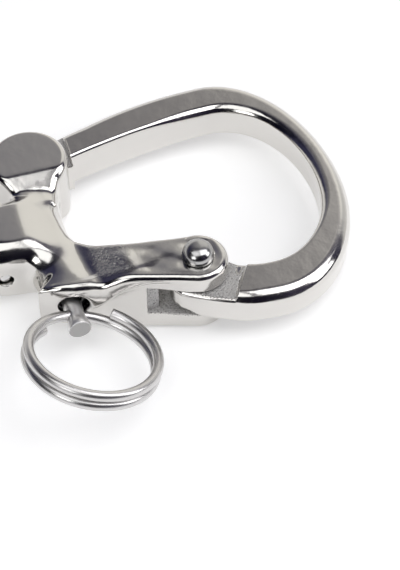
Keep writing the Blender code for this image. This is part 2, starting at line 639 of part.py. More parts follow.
def main():
    for obj in list(bpy.data.objects):
        bpy.data.objects.remove(obj, do_unlink=True)
    polished = (0.62, 0.61, 0.59)
    satin = (0.50, 0.49, 0.48)
    make_body(steel("body_steel", polished, 0.18))
    make_jaw(steel("jaw_steel", satin, 0.24))
    make_rivet(steel("rivet_steel", polished, 0.16))
    make_plunger(steel("plunger_steel", polished, 0.2))
    make_spring(steel("spring_steel", (0.45, 0.45, 0.46), 0.35))
    tube_wall("plunger_bush", BUSH_START_Y, BUSH_END_Y, PULL_RADIUS + GAP, BORE_RADIUS - GAP, "Y",
              (PLUNGER_X, 0, MID), steel("bush_steel", satin, 0.35), 0.15)
    make_ring(steel("ring_steel", polished, 0.12))
    make_stud(steel("stud_steel", polished, 0.2))
    make_lock_pin(steel("lock_pin_steel", satin, 0.3))
    tube_wall("swivel_washer", WASHER_START_X, WASHER_END_X, STUD_BORE_RADIUS, WASHER_RADIUS, "X",
              (0, 0, MID), steel("washer_steel", satin, 0.3), 0.15)
    make_eye(steel("eye_steel", polished, 0.18))


main()
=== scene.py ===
# %% [markdown]
# # A swivel snap shackle in polished stainless steel
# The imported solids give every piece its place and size. This lesson gives them their skin:
# castings whose forms melt into each other, turned pins, drawn wire, and the finishes that
# tumbling, blasting and buffing leave on stainless steel.

# %% Frame
import json
import math

import bmesh
import bpy
import numpy as np
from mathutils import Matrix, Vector


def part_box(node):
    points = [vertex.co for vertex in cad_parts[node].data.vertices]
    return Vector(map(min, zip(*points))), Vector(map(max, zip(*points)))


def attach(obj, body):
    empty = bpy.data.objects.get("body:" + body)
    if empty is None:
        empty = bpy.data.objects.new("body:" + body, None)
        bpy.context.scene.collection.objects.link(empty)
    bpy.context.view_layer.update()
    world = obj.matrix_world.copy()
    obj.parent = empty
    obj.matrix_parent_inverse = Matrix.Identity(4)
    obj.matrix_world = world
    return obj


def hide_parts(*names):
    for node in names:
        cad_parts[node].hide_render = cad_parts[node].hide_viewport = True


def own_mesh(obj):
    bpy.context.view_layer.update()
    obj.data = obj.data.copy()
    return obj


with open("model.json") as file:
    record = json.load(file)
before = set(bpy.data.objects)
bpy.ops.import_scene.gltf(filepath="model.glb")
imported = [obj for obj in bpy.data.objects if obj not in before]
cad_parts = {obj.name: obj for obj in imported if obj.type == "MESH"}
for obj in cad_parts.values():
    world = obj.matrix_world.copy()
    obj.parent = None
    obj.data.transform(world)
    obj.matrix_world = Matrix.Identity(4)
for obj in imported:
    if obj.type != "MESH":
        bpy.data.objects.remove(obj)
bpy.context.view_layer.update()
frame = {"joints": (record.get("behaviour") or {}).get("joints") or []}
MM = 0.001
joints = {joint["name"]: joint for joint in frame["joints"]}

# %% [markdown]
# ## Places read from the frame
# Shapes below are worked out in millimetres, because that is how a pattern maker thinks. The
# places that must agree with the solids are read from the frame: joint axes, and the boxes of
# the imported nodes. Other places are named values beside the shape that needs them.

# %% Places


def joint_place(name):
    """A joint's position in millimetres."""
    return np.array(joints[name]["pos_m"]) / MM


def node_box(name):
    """A node's lowest and highest corners in millimetres."""
    low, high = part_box(name)
    return np.array(low) / MM, np.array(high) / MM


PIVOT = joint_place("jaw_pivot")
MIDDLE = PIVOT[2]
RING_CROSSING = joint_place("ring_swing")
RING_AXIS = -np.array(joints["ring_swing"]["axis"])
PLUNGER_X = RING_CROSSING[0]
body_low, body_high = node_box("body")
jaw_low, jaw_high = node_box("jaw")
HALF_THICK = (body_high[2] - body_low[2]) / 2
JAW_HALF = (jaw_high[2] - jaw_low[2]) / 2
print("pivot", PIVOT, "half thickness", HALF_THICK, "jaw half thickness", JAW_HALF)

# %% [markdown]
# ## Solids as distances
# A casting has no sharp meeting of forms: the wax pattern is filleted by hand. The easy way to
# get that is to write each form as a distance, negative inside and positive outside, and to
# join two of them with a soft minimum that fills the crease. A plain Boolean would leave a hard
# crease, and a bevel on such a crease often fails, so the distances are joined first and the
# skin is found last.

# %% Joining forms


def soft_join(a, b, blend):
    """The smaller of two distances, lowered by a parabola where they differ by less than blend."""
    share = np.clip(0.5 + 0.5 * (b - a) / blend, 0.0, 1.0)
    return b + (a - b) * share - blend * share * (1 - share)


def soft_cut(solid, cutter, blend):
    """The solid less the cutter, with the new edge rounded over the blend length."""
    return -soft_join(-solid, cutter, blend)


def soft_meet(a, b, blend):
    """What two solids share, with the edge between them rounded over the blend length."""
    return -soft_join(-a, -b, blend)


def plate(outline, height, rounding):
    """A flat form: its outline distance and its height distance meet in an arc of that radius."""
    across, up = outline + rounding, height + rounding
    outside = np.hypot(np.maximum(across, 0), np.maximum(up, 0))
    return np.minimum(np.maximum(across, up), 0) + outside - rounding


def block(x, y, z, low, high):
    """Box between two corners: the largest of the six distances past a side."""
    sides = [np.maximum(a - p, p - b) for p, a, b in zip((x, y, z), low, high)]
    return np.maximum(np.maximum(sides[0], sides[1]), sides[2])


def ramp(value, start, end):
    """0 at the start and 1 at the end, with a fifth-power step between that is level at both."""
    t = np.clip((value - start) / (end - start), 0.0, 1.0)
    return t * t * t * (10 - 15 * t + 6 * t * t)


print("two forms that touch with a 2 mm blend get a fillet", -soft_join(0.0, 0.0, 2.0), "mm deep")

# %% [markdown]
# ## Curves for the outlines
# Seen from above, the arms of a casting are free curves that a pattern maker draws with a
# bent spline. A natural cubic spline is that same bent strip as a formula, so an outline needs
# only the few points that the strip is pinned at. Straight lines and arcs would show a
# break in the reflection at each joint.

# %% Splines


def smooth_curve(*knots):
    """Natural cubic spline through (place, value) knots; gives back value and slope at places.

    The second derivatives m solve h0*m0 + 2(h0+h1)*m1 + h1*m2 = 6*(change of slope), with both
    ends straight, and past the ends the curve runs on as a line.
    """
    x, y = np.array(knots, float).T
    h = np.diff(x)
    rise = np.diff(y) / h
    matrix = np.eye(len(x))
    inner = np.arange(1, len(x) - 1)
    matrix[inner, inner - 1] = h[:-1]
    matrix[inner, inner] = 2 * (h[:-1] + h[1:])
    matrix[inner, inner + 1] = h[1:]
    bend = np.zeros(len(x))
    bend[inner] = 6 * np.diff(rise)
    m = np.linalg.solve(matrix, bend)

    def read(place):
        """Value and slope at places: the cubic of the span, and its derivative."""
        inside = np.clip(place, x[0], x[-1])
        k = np.clip(np.searchsorted(x, inside) - 1, 0, len(h) - 1)
        t = inside - x[k]
        first = rise[k] - h[k] * (2 * m[k] + m[k + 1]) / 6
        slope = first + m[k] * t + (m[k + 1] - m[k]) * t * t / (2 * h[k])
        value = y[k] + first * t + m[k] * t * t / 2 + (m[k + 1] - m[k]) * t ** 3 / (6 * h[k])
        return value + slope * (place - inside), slope

    return read


def above(curve, x, y):
    """Distance of (x, y) above a curve y = f(x), measured square to the curve to first order."""
    value, slope = curve(x)
    return (y - value) / np.sqrt(1 + slope * slope)


hill = smooth_curve((0, 0), (1, 1), (2, 0))
print("a strip pinned at heights 0, 1 and 0 is", round(float(hill(0.5)[0]), 3), "high half way up")

# %% [markdown]
# ## Finding the skin
# The skin is where the distance is zero. The space is cut into small cells; each cell that the
# skin crosses gets one point, and each crossed edge gets one face between the four cells round
# it. The points are then moved down the slope of the distance until they lie on the true skin,
# and eased along it so that the faces are even, because polished metal shows every ripple.

# %% Moving points onto the skin
SLOPE_REACH = 0.05
EVEN_SHARE = 0.6


def slope_of(field, points, cell):
    """Gradient of the field at the points, by central differences over a small part of a cell."""
    columns = []
    reach = cell * SLOPE_REACH
    for axis in range(3):
        step = np.zeros(3)
        step[axis] = reach
        columns.append(field(*(points + step).T) - field(*(points - step).T))
    return np.stack(columns, 1) / (2 * reach)


def settle(field, points, cell, rounds):
    """Newton steps along the gradient, each no longer than half a cell."""
    for _ in range(rounds):
        slope = slope_of(field, points, cell)
        move = field(*points.T) / np.maximum((slope * slope).sum(1), 1e-6)
        step = -slope * move[:, None]
        length = np.linalg.norm(step, axis=1, keepdims=True)
        points = points + step * np.minimum(1.0, 0.5 * cell / np.maximum(length, 1e-12))
    return points


def even_out(field, points, faces, cell, rounds):
    """Move each point towards its neighbours' mean, along the skin only, and settle it again."""
    ends = np.concatenate([faces[:, [k, (k + 1) % 4]] for k in range(4)])
    count = np.bincount(ends[:, 0], minlength=len(points))
    count = count + np.bincount(ends[:, 1], minlength=len(points))
    for _ in range(rounds):
        mean = np.zeros_like(points)
        for axis in range(3):
            mean[:, axis] += np.bincount(ends[:, 0], points[ends[:, 1], axis], len(points))
            mean[:, axis] += np.bincount(ends[:, 1], points[ends[:, 0], axis], len(points))
        mean /= count[:, None]
        slope = slope_of(field, points, cell)
        normal = slope / np.maximum(np.linalg.norm(slope, axis=1, keepdims=True), 1e-9)
        step = mean - points
        step -= normal * (step * normal).sum(1, keepdims=True)
        points = settle(field, points + EVEN_SHARE * step, cell, rounds=1)
    return points


# %% Skin of a distance field


def skin(field, low, high, cell):
    """Points and four-sided faces of the zero surface of a field(x, y, z), in millimetres.

    A cell's point is the mean of the places where its edges cross zero.
    """
    axes = [np.arange(a - 2 * cell, b + 3 * cell, cell) for a, b in zip(low, high)]
    values = field(axes[0][:, None, None], axes[1][None, :, None], axes[2][None, None, :])
    cells = np.array(values.shape) - 1
    total, count = np.zeros((*cells, 3)), np.zeros(cells)
    edges = []
    for axis in range(3):
        first = np.delete(values, -1, axis)
        second = np.delete(values, 0, axis)
        where = np.argwhere((first < 0) != (second < 0))
        a, b = first[tuple(where.T)], second[tuple(where.T)]
        place = where.astype(float)
        place[:, axis] += a / (a - b)
        left, up = (axis + 1) % 3, (axis + 2) % 3
        corners = []
        for back, down in ((0, 0), (1, 0), (1, 1), (0, 1)):
            corner = where.copy()
            corner[:, left] -= back
            corner[:, up] -= down
            np.add.at(total, tuple(corner.T), place)
            np.add.at(count, tuple(corner.T), 1)
            corners.append(corner)
        edges.append((corners, a < 0))
    crossed = count > 0
    number = np.cumsum(crossed).reshape(cells) - 1
    start = np.array([axis[0] for axis in axes])
    points = start + cell * total[crossed] / count[crossed][:, None]
    faces = []
    for corners, outward in edges:
        quad = np.stack([number[tuple(corner.T)] for corner in corners], 1)
        faces.append(np.where(outward[:, None], quad, quad[:, ::-1]))
    faces = np.concatenate(faces)
    points = settle(field, points, cell, rounds=3)
    points = even_out(field, points, faces, cell, rounds=4)
    return settle(field, points, cell, rounds=2), faces


def ball(x, y, z):
    """A ball of radius 2, to test the skin on: distance from the origin, less 2."""
    return np.sqrt(x * x + y * y + z * z) - 2.0


ball_points, ball_faces = skin(ball, (-2, -2, -2), (2, 2, 2), 0.5)
print("a ball gets", len(ball_faces), "faces, and its points miss it by", np.abs(ball(*ball_points.T)).max())

# %% [markdown]
# ## From points to a piece
# Each piece becomes one mesh at the origin, rides a body of the frame and stands for the packed
# solids that it covers. A casting takes its shading normals from the slope of its distance,
# which is exact, and not from its faces, whose small unevenness a mirror finish would show.
# Numbers stored on the vertices later tell the material which finish is where.

# %% Pieces


def piece_from(name, points, faces, material, body, nodes):
    """Put points in millimetres and faces into a smooth mesh that rides a body and stands for nodes."""
    mesh = bpy.data.meshes.new(name)
    mesh.from_pydata(points * MM, [], faces.tolist())
    mesh.validate()
    mesh.shade_smooth()
    mesh.materials.append(material)
    piece = bpy.data.objects.new(name, mesh)
    bpy.context.scene.collection.objects.link(piece)
    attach(piece, body)
    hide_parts(*nodes)
    print(f"{name}: {len(points)} points, {len(faces)} faces, on {body}")
    return piece


def cast(name, field, node, cell, material, body):
    """Skin a field inside a node's box, and give the mesh the field's own slopes as its normals."""
    points, faces = skin(field, *node_box(node), cell)
    piece = piece_from(name, points, faces, material, body, [node])
    normals = slope_of(field, points, cell)
    normals /= np.linalg.norm(normals, axis=1, keepdims=True)
    piece.data.normals_split_custom_set_from_vertices(normals)
    return piece


def mark(piece, **finishes):
    """Give a piece named numbers, one per vertex."""
    for name, values in finishes.items():
        attribute = piece.data.attributes.new(name, "FLOAT", "POINT")
        attribute.data.foreach_set("value", np.asarray(values, np.float32))


def places(piece):
    """Vertex positions, in millimetres, and vertex normals of a piece, as rows of x, y and z."""
    points = np.empty(len(piece.data.vertices) * 3)
    piece.data.vertices.foreach_get("co", points)
    normals = np.empty(len(piece.data.vertices) * 3)
    piece.data.vertices.foreach_get("normal", normals)
    return points.reshape(-1, 3).T / MM, normals.reshape(-1, 3).T


# %% [markdown]
# ## Writing materials
# A finish is a small tree of nodes, and written out in full each takes a page. This helper adds a
# node, sets or links its inputs and gives back its output, so that a finish reads as a formula:
# noise, spread to a range, mixed by a number, bumped.

# %% Node helper
NOISE_LOW, NOISE_HIGH = 0.3, 0.7


class Nodes:
    """A metal material, with short ways to add nodes to it and link them."""

    def __init__(self, name):
        """Start from the standard shader, fully metallic."""
        self.material = bpy.data.materials.new(name)
        self.material.use_nodes = True
        self.tree = self.material.node_tree
        self.shader = self.tree.nodes["Principled BSDF"]
        self.shader.inputs["Metallic"].default_value = 1.0

    def put(self, socket, value):
        """Link an output to an input, or set the input to a number, colour or vector."""
        if isinstance(value, bpy.types.NodeSocket):
            self.tree.links.new(value, socket)
        else:
            socket.default_value = value

    def add(self, kind, settings=None, **inputs):
        """Add a node with its own settings, and put values into its inputs by name."""
        node = self.tree.nodes.new("ShaderNode" + kind)
        for key, value in (settings or {}).items():
            setattr(node, key, value)
        for key, value in inputs.items():
            self.put(node.inputs[key.replace("_", " ")], value)
        return node

    def finish(self, **inputs):
        """Put values into the shader's inputs by name, and give back the material."""
        for key, value in inputs.items():
            self.put(self.shader.inputs[key.replace("_", " ")], value)
        return self.material

    def number(self, name):
        """A number that the piece carries on its vertices; zero where it carries none."""
        return self.add("Attribute", {"attribute_name": name}).outputs["Fac"]

    def stretched(self, where, scale):
        """Coordinates multiplied by three factors."""
        return self.add("Mapping", {"vector_type": "POINT"}, Vector=where, Scale=scale).outputs["Vector"]

    def noise(self, where, scale, detail=2.0, rough=0.5):
        """Cloudy noise of about that many lumps to the unit."""
        node = self.add("TexNoise", Vector=where, Scale=scale, Detail=detail, Roughness=rough)
        return node.outputs["Fac"]

    def fit(self, value, low, high, to_low, to_high):
        """Move a value from one range to another, smoothly."""
        node = self.add("MapRange", {"interpolation_type": "SMOOTHSTEP"})
        for socket, number in zip(list(node.inputs)[:5], (value, low, high, to_low, to_high)):
            self.put(socket, number)
        return node.outputs["Result"]

    def spread(self, noise, to_low, to_high):
        """Noise over its usual range, moved to a range of the builder's own."""
        return self.fit(noise, NOISE_LOW, NOISE_HIGH, to_low, to_high)

    def mix(self, share, a, b):
        """Number a where share is 0, b where it is 1."""
        node = self.add("Mix", {"data_type": "FLOAT"})
        for name, value in (("Factor", share), ("A", a), ("B", b)):
            self.put(next(s for s in node.inputs if s.name == name and s.type == "VALUE"), value)
        return node.outputs["Result"]

    def tint(self, share, a, b):
        """Colour a where share is 0, b where it is 1."""
        node = self.add("Mix", {"data_type": "RGBA"})
        self.put(node.inputs[0], share)
        for name, value in (("A", a), ("B", b)):
            self.put(next(s for s in node.inputs if s.name == name and s.type == "RGBA"), value)
        return next(o for o in node.outputs if o.type == "RGBA")

    def math(self, kind, a, b):
        """Sum, difference or product of two values."""
        node = self.add("Math", {"operation": kind})
        self.put(node.inputs[0], a)
        self.put(node.inputs[1], b)
        return node.outputs[0]

    def bump(self, height, distance, normal=None):
        """Normal of a height that is distance metres at 1, on top of another normal."""
        node = self.add("Bump", Distance=distance, Height=height)
        if normal is not None:
            self.put(node.inputs["Normal"], normal)
        return node.outputs["Normal"]


# %% [markdown]
# ## Cast steel
# The castings are stainless steel all over, and only the finish differs. Tumbling leaves soft
# waves that make reflections wander, buffing leaves a satin flat, and blasting leaves a matte grain
# whose colour is lifted so that the shaded slots read bright, which is painted light. The bore is
# painted dark, as painted shade. Each vertex carries up to four numbers, blast, satin, wavy and dark,
# and one material reads them. Separate materials on separate faces would be simpler, but they would
# leave hard borders.

# %% Cast finish
CLEAN_STEEL, BUFFED_STEEL = (0.68, 0.665, 0.64, 1), (0.47, 0.455, 0.445, 1)
# The blast colours are lifted so that the shaded slots read bright: painted light.
BLAST_PIT, BLAST_TOP = (0.50, 0.49, 0.483, 1), (0.70, 0.69, 0.683, 1)
# Painted shade colour: the bore's interior, and the colour that the open tongue is darkened towards
PAINTED_SHADE = (0.10, 0.095, 0.095, 1)
TUMBLED_ROUGH, SATIN_ROUGH, BLAST_ROUGH = (0.10, 0.20), (0.17, 0.23), (0.26, 0.44)
MATTE_FROM, MATTE_FULL, BLAST_METALLIC = 0.6, 0.95, 0.45
SPECKLE_LOW, SPECKLE_HIGH = 0.35, 0.6
# Lumps to the metre, heights in metres, and how much of a height shows without and with its finish
WAVES, CLOUDS, PITS, GRAINS = 210.0, 260.0, 1700.0, 3000.0
WAVE_HEIGHT, PIT_DEPTH, GRAIN_HEIGHT = 0.00075, 0.00003, 0.0003
CLOUD_SHARE, PIT_SHARE, GRAIN_SHARE = 0.08, (0.01, 0.06), (0.004, 1.0)


def casting_steel():
    """Tumbled cast steel: waves, fine pits where it is satin, and matte grain where it is blasted."""
    n = Nodes("casting_steel")
    where = n.add("TexCoord").outputs["Object"]
    blast, satin, wavy, dark = [n.number(name) for name in ("blast", "satin", "wavy", "dark")]
    drift = n.math("SUBTRACT", n.noise(where, WAVES, 1.0), 0.5)
    cloud = n.noise(where, CLOUDS, 3.0)
    grain = n.noise(where, GRAINS, 2.0, 0.6)
    pits = n.noise(where, PITS)
    rough = n.mix(satin, n.spread(cloud, *TUMBLED_ROUGH), n.spread(cloud, *SATIN_ROUGH))
    rough = n.mix(blast, rough, n.spread(grain, *BLAST_ROUGH))
    matte = n.fit(blast, MATTE_FROM, MATTE_FULL, 0.0, 1.0)
    speckle = n.tint(n.fit(grain, SPECKLE_LOW, SPECKLE_HIGH, 0.0, 1.0), BLAST_PIT, BLAST_TOP)
    shade = n.tint(matte, n.tint(satin, CLEAN_STEEL, BUFFED_STEEL), speckle)
    wave = n.math("ADD", n.math("MULTIPLY", drift, wavy), n.math("MULTIPLY", cloud, CLOUD_SHARE))
    normal = n.bump(wave, WAVE_HEIGHT)
    normal = n.bump(n.math("MULTIPLY", pits, n.mix(satin, *PIT_SHARE)), PIT_DEPTH, normal)
    normal = n.bump(n.math("MULTIPLY", grain, n.mix(blast, *GRAIN_SHARE)), GRAIN_HEIGHT, normal)
    # The dark number tints towards the painted shade colour: painted shade in the bore, a darkening on the
    # tongue
    return n.finish(Roughness=rough, Metallic=n.mix(matte, 1.0, BLAST_METALLIC),
                    Base_Color=n.tint(dark, shade, PAINTED_SHADE), Normal=normal)


cast_steel = casting_steel()
print("cast finish:", len(cast_steel.node_tree.nodes), "nodes")

# %% [markdown]
# ## Turned steel and drawn wire
# A lathe leaves fine rings square to the axis, and a drawing die leaves streaks along the wire.
# Both are noise that is stretched until its lumps are lines: across the axis for turned pieces,
# and along the wire's own UV map for wire, which bends too much for straight coordinates. An
# anisotropic shader would also stretch the gloss, but it wouldn't show the lines themselves.

# %% Turned finish
RING_LINES, RING_LENGTH = 5200.0, 90.0
TURNED_GROOVE, TURNED_CREST = np.array((0.66, 0.655, 0.65)), np.array((0.76, 0.755, 0.75))
SAWN_STEEL, SAWN_ROUGH = (0.44, 0.435, 0.43, 1), 0.55
STAINS, STAIN_HEIGHT, RING_HEIGHT, GLOSS_SPREAD = 420.0, 0.00002, 0.0000015, 0.08


def turned_finish(name, axis, gloss, tone=1.0):
    """Turned steel: fine rings square to an axis, and a dull grey where an end is sawn off."""
    n = Nodes(name)
    where = n.add("TexCoord").outputs["Object"]
    stretch = [RING_LINES if letter == axis else RING_LENGTH for letter in "XYZ"]
    rings = n.noise(n.stretched(where, stretch), 1.0, 3.0)
    stain = n.noise(where, STAINS)
    sawn = n.number("sawn")
    rough = n.mix(sawn, n.spread(stain, gloss, gloss + GLOSS_SPREAD), SAWN_ROUGH)
    bright = n.tint(rings, (*TURNED_GROOVE * tone, 1), (*TURNED_CREST * tone, 1))
    normal = n.bump(rings, RING_HEIGHT, n.bump(stain, STAIN_HEIGHT))
    return n.finish(Roughness=rough, Base_Color=n.tint(sawn, bright, SAWN_STEEL), Normal=normal)


turned_z = turned_finish("turned_upright", "Z", 0.17, 0.64)
turned_y = turned_finish("turned_across", "Y", 0.13)
turned_x = turned_finish("turned_along", "X", 0.12)
# The pull's colour is lifted by 1.2 over turned steel, so that it reads lit beside the barrel's mouth:
# painted light.
pull_steel_painted_light = turned_finish("turned_pull_painted_light", "Y", 0.34, 1.2)
# The bush is turned steel darkened to 0.3, so that it reads as the shade in the barrel's mouth: painted
# shade.
bush_painted_shade_steel = turned_finish("bush_painted_shade", "Y", 0.42, 0.3)
turned_steels = (turned_z, turned_y, turned_x, pull_steel_painted_light, bush_painted_shade_steel)
print("turned finishes:", [material.name for material in turned_steels])

# %% Wire finish
WIRE_DARK, WIRE_LIGHT = (0.58, 0.57, 0.565, 1), (0.67, 0.66, 0.655, 1)
WIRE_ROUGH = (0.24, 0.36)
STREAKS, STREAK_HEIGHT = (24.0, 5.0, 1.0), 0.000005


def drawn_wire():
    """Drawn wire: streaks along its length, from the piece's own UV map."""
    n = Nodes("drawn_wire")
    along = n.add("UVMap", {"uv_map": "wire"}).outputs["UV"]
    streak = n.noise(n.stretched(along, STREAKS), 1.0, 4.0, 0.6)
    rough = n.spread(streak, *WIRE_ROUGH)
    shade = n.tint(streak, WIRE_DARK, WIRE_LIGHT)
    return n.finish(Roughness=rough, Base_Color=shade, Normal=n.bump(streak, STREAK_HEIGHT))


wire_steel = drawn_wire()
print("wire finish:", len(wire_steel.node_tree.nodes), "nodes")

# %% [markdown]
# ## The body casting: the fork arm
# The body is one casting with four forms: the fork arm that holds the jaw's pivot, the barrel
# round the plunger, the lug that the jaw latches in, and the hub of the swivel. The arm could be
# an extruded outline with a bevel, but its top dips towards the barrel and its flank is hollowed
# under a brow, so its height and its flank are curves too. It ends in a disc about the pivot.

# %% Fork arm
FORK_RADIUS = 5.0
ARM_ROUNDING = 1.15
FLANK_HOLLOW, RIM_LIFT = 0.7, 0.65
ARM_START_X, ARM_REACH_BACK = 5.0, 3.3
near_edge = smooth_curve((0, -12.9), (4, -14.0), (8, -15.15), (10, -15.7), (12, -16.4), (15.4, -17.1),
                         (19.8, -18.3), (24, -19.6), (PIVOT[0], PIVOT[1] - FORK_RADIUS),
                         (31, PIVOT[1] - FORK_RADIUS))
inner_edge = smooth_curve((5, 5.6), (8.4, 0.9), (9.3, -2.3), (10.8, -4.75), (13, -6.9), (15, -8.2),
                          (17, -9.05), (21.8, -9.95), (PIVOT[0], PIVOT[1] + FORK_RADIUS),
                          (31, PIVOT[1] + FORK_RADIUS))
brow = smooth_curve((9, 6.2), (10.5, 6.6), (12.05, 7.6), (14.2, 9.8), (16.55, 11.0), (18.8, 12.0),
                    (22, 12.6))
fork_height = smooth_curve((5, 4.0), (8.6, 4.0), (10, 4.06), (11.6, 4.5), (13.4, 5.35), (15.2, 6.12),
                           (17.1, 6.53), (19, 6.6), (24, 6.6))


def fork_arm(x, y, z):
    """Arm between two curves in plan, round about the pivot, rising from the barrel to full height.

    It starts further back on its outer side. Below the brow curve its flank is hollowed, and beside
    the barrel its top lifts into a rim.
    """
    hollow = FLANK_HOLLOW * ramp(brow(x)[0] - z, 0, 1.6) * ramp(z, 0.5, 6)
    hollow = hollow * ramp(x, 8.5, 11) * ramp(x, 27, 18)
    strip = np.maximum(-above(near_edge, x, y) + hollow, above(inner_edge, x, y))
    start = ARM_START_X - ARM_REACH_BACK * ramp(y, -9.5, -14)
    strip = np.maximum(strip, np.maximum(start - x, x - PIVOT[0]))
    disc = np.hypot(x - PIVOT[0], y - PIVOT[1]) - FORK_RADIUS
    rim = RIM_LIFT * ramp(y, -12.6, -14.6) * ramp(x, 13, 10)
    half = np.minimum(fork_height(x)[0], HALF_THICK) + rim
    return plate(np.minimum(strip, disc), np.abs(z - MIDDLE) - half, ARM_ROUNDING)


heights = 2 * fork_height(np.array((8.0, 12.0, 16.0, 20.0)))[0]
print("the arm is", heights.round(1), "mm high along its length")

# %% [markdown]
# ## The barrel, the latch lug and the hub
# The barrel is round inside, and outside it squares off towards its mouth, so its section is a
# superellipse whose power grows that way. Its mouth is cut in line with the arm's flank. The lug
# spreads from the barrel and ends in a half round, and the hub is a rounded block whose width and
# height follow two curves. Each could be a lofted mesh, but then the fillets between them
# would have to be modelled by hand.

# %% Barrel
BARREL_RADIUS, BARREL_ROUNDING = 4.7, 1.1
BARREL_FACE_Y, BARREL_END_Y = -15.3, 11.0
BARREL_LEAN, LEAN_CHANGE, SQUARING, DRAW_IN = 0.4, 1.2, 0.9, 1.7
FACE_LEAN, FACE_LEAN_START = 0.29, 7.6
FACE_STEEPNESS = 1.035


def barrel(x, y, z):
    """Barrel round the plunger: |across|^p + |up|^p = radius^p, with p from 2 to 2.9 at its mouth.

    It leans and draws in past the spring, and its face falls back to the left.
    """
    up = np.abs(z - MIDDLE)
    lean = (BARREL_LEAN - LEAN_CHANGE * ramp(y, -14, -4)) * ramp(up, 0, 4.5)
    power = 2 + SQUARING * ramp(y, -10.5, -14.5)
    across = np.abs(x - PLUNGER_X - lean)
    section = (across ** power + up ** power) ** (1 / power) - BARREL_RADIUS + DRAW_IN * ramp(y, -7, 2)
    face = BARREL_FACE_Y + FACE_LEAN * np.maximum(FACE_LEAN_START - x, 0)
    return plate(section, np.maximum((face - y) / FACE_STEEPNESS, y - BARREL_END_Y), BARREL_ROUNDING)


print("the barrel is", 2 * BARREL_RADIUS, "mm across")

# %% Lug and hub
LUG_ROUND, LUG_END_Y, LUG_X = 6.7, 20.4, 6.9
LUG_START_Y, LUG_LOW_HALF, LUG_ROUNDING = 4.0, 4.5, 1.1
HUB_START_X, HUB_END_X, HUB_CORNER, HUB_ROUNDING = -5.6, 8.4, 4.4, 0.8
lug_back = smooth_curve((4, 3.6), (8, 2.4), (11, 0.6), (13.7, 0.2), (16, 0.2))
lug_front = smooth_curve((4, 9.2), (8, 10.7), (11, 12.8), (13.7, 13.6), (16, 13.6))
hub_width = smooth_curve((-6, 4.9), (-4.6, 6.0), (-3.4, 6.4), (2.4, 7.3), (4.2, 8.0), (6.5, 8.8),
                         (8.4, 8.9))
hub_height = smooth_curve((-6, 5.3), (-4.6, 6.3), (-3.4, 6.6), (2.4, 6.6), (4.2, 6.0), (6.5, 4.9),
                          (8.4, 4.3))


def latch_lug(x, y, z):
    """Block between two curves x = f(y) that spreads from the barrel and ends in a half round."""
    centre_y = LUG_END_Y - LUG_ROUND
    strip = np.maximum(-above(lug_back, y, x), above(lug_front, y, x))
    strip = np.maximum(strip, np.maximum(LUG_START_Y - y, y - centre_y))
    disc = np.hypot(x - LUG_X, y - centre_y) - LUG_ROUND
    half = LUG_LOW_HALF + (HALF_THICK - LUG_LOW_HALF) * ramp(y, 5, 11.5)
    return plate(np.minimum(strip, disc), np.abs(z - MIDDLE) - half, LUG_ROUNDING)


def hub(x, y, z):
    """Swivel end: a rounded rectangle whose width and height follow two curves along X."""
    section = plate(np.abs(y) - hub_width(x)[0], np.abs(z - MIDDLE) - hub_height(x)[0], HUB_CORNER)
    return plate(section, np.maximum(HUB_START_X - x, x - HUB_END_X), HUB_ROUNDING)


print("the lug is", 2 * LUG_ROUND, "mm wide, and the hub", HUB_END_X - HUB_START_X, "mm long")

# %% [markdown]
# ## What is cut out of the body
# The jaw's tongue turns in a milled slot with a pocket for its heel, and the jaw's tip
# comes down into a second slot in the lug. The barrel is bored for the spring, its bush and the
# plunger, with a mouth a little off the pin's centre. The pivot hole flares out below,
# where the rivet is peened over, and the hub has a hole for the stud and one across it for the
# lock pin. All are distances too, so their edges are rounded as they are cut.

# %% Openings
SLOT_HALF = 3.0
SLOT_END_X, SLOT_WALL_Y = 19.2, -16.9
SLOT_NOSE_X, SLOT_BACK_Y = 21.4, -12.2
SLOT_OPEN_X, SLOT_OPEN_Y = 23.4, 5
LATCH_X, LATCH_Y, LATCH_HALF = 3.0, 12.4, 3.3
PAST_ALL = 60
BORE_RADIUS, BORE_START_Y, BORE_END_Y, NOSE_BORE = 3.3, -13.6, -3.0, 1.9
MOUTH_RADIUS, MOUTH_SHIFT, MOUTH_DEPTH_Y = 2.25, 0.35, -12
PIVOT_HOLE, PIVOT_FLARE, FLARE_SLOPE = 2.5, 3.8, 0.8
STUD_HOLE, STUD_HOLE_END_X = 2.6, 1.6
LOCK_X, LOCK_HOLE = -2.2, 1.3
HOLE_EDGE, MOUTH_EDGE, HUB_HOLE_EDGE = 0.2, 1.2, 0.3


def fork_opening(x, y, z):
    """Slot that the jaw's tongue turns in: three steps that open towards the bow."""
    low, high = MIDDLE - SLOT_HALF, MIDDLE + SLOT_HALF
    slot = block(x, y, z, (SLOT_END_X, -PAST_ALL, low), (PAST_ALL, SLOT_WALL_Y, high))
    slot = np.minimum(slot, block(x, y, z, (SLOT_NOSE_X, -PAST_ALL, low), (PAST_ALL, SLOT_BACK_Y, high)))
    return np.minimum(slot, block(x, y, z, (SLOT_OPEN_X, -PAST_ALL, low), (PAST_ALL, SLOT_OPEN_Y, high)))


def latch_opening(x, y, z):
    """Slot in the lug that the jaw's tip comes down into: a box that is open past the lug."""
    low, high = MIDDLE - LATCH_HALF, MIDDLE + LATCH_HALF
    return block(x, y, z, (LATCH_X, LATCH_Y, low), (PAST_ALL, PAST_ALL, high))


def lock_hole(x, z):
    """Hole across the hub and the stud for the lock pin: distance from its axis, less its radius."""
    return np.hypot(x - LOCK_X, z - MIDDLE) - LOCK_HOLE


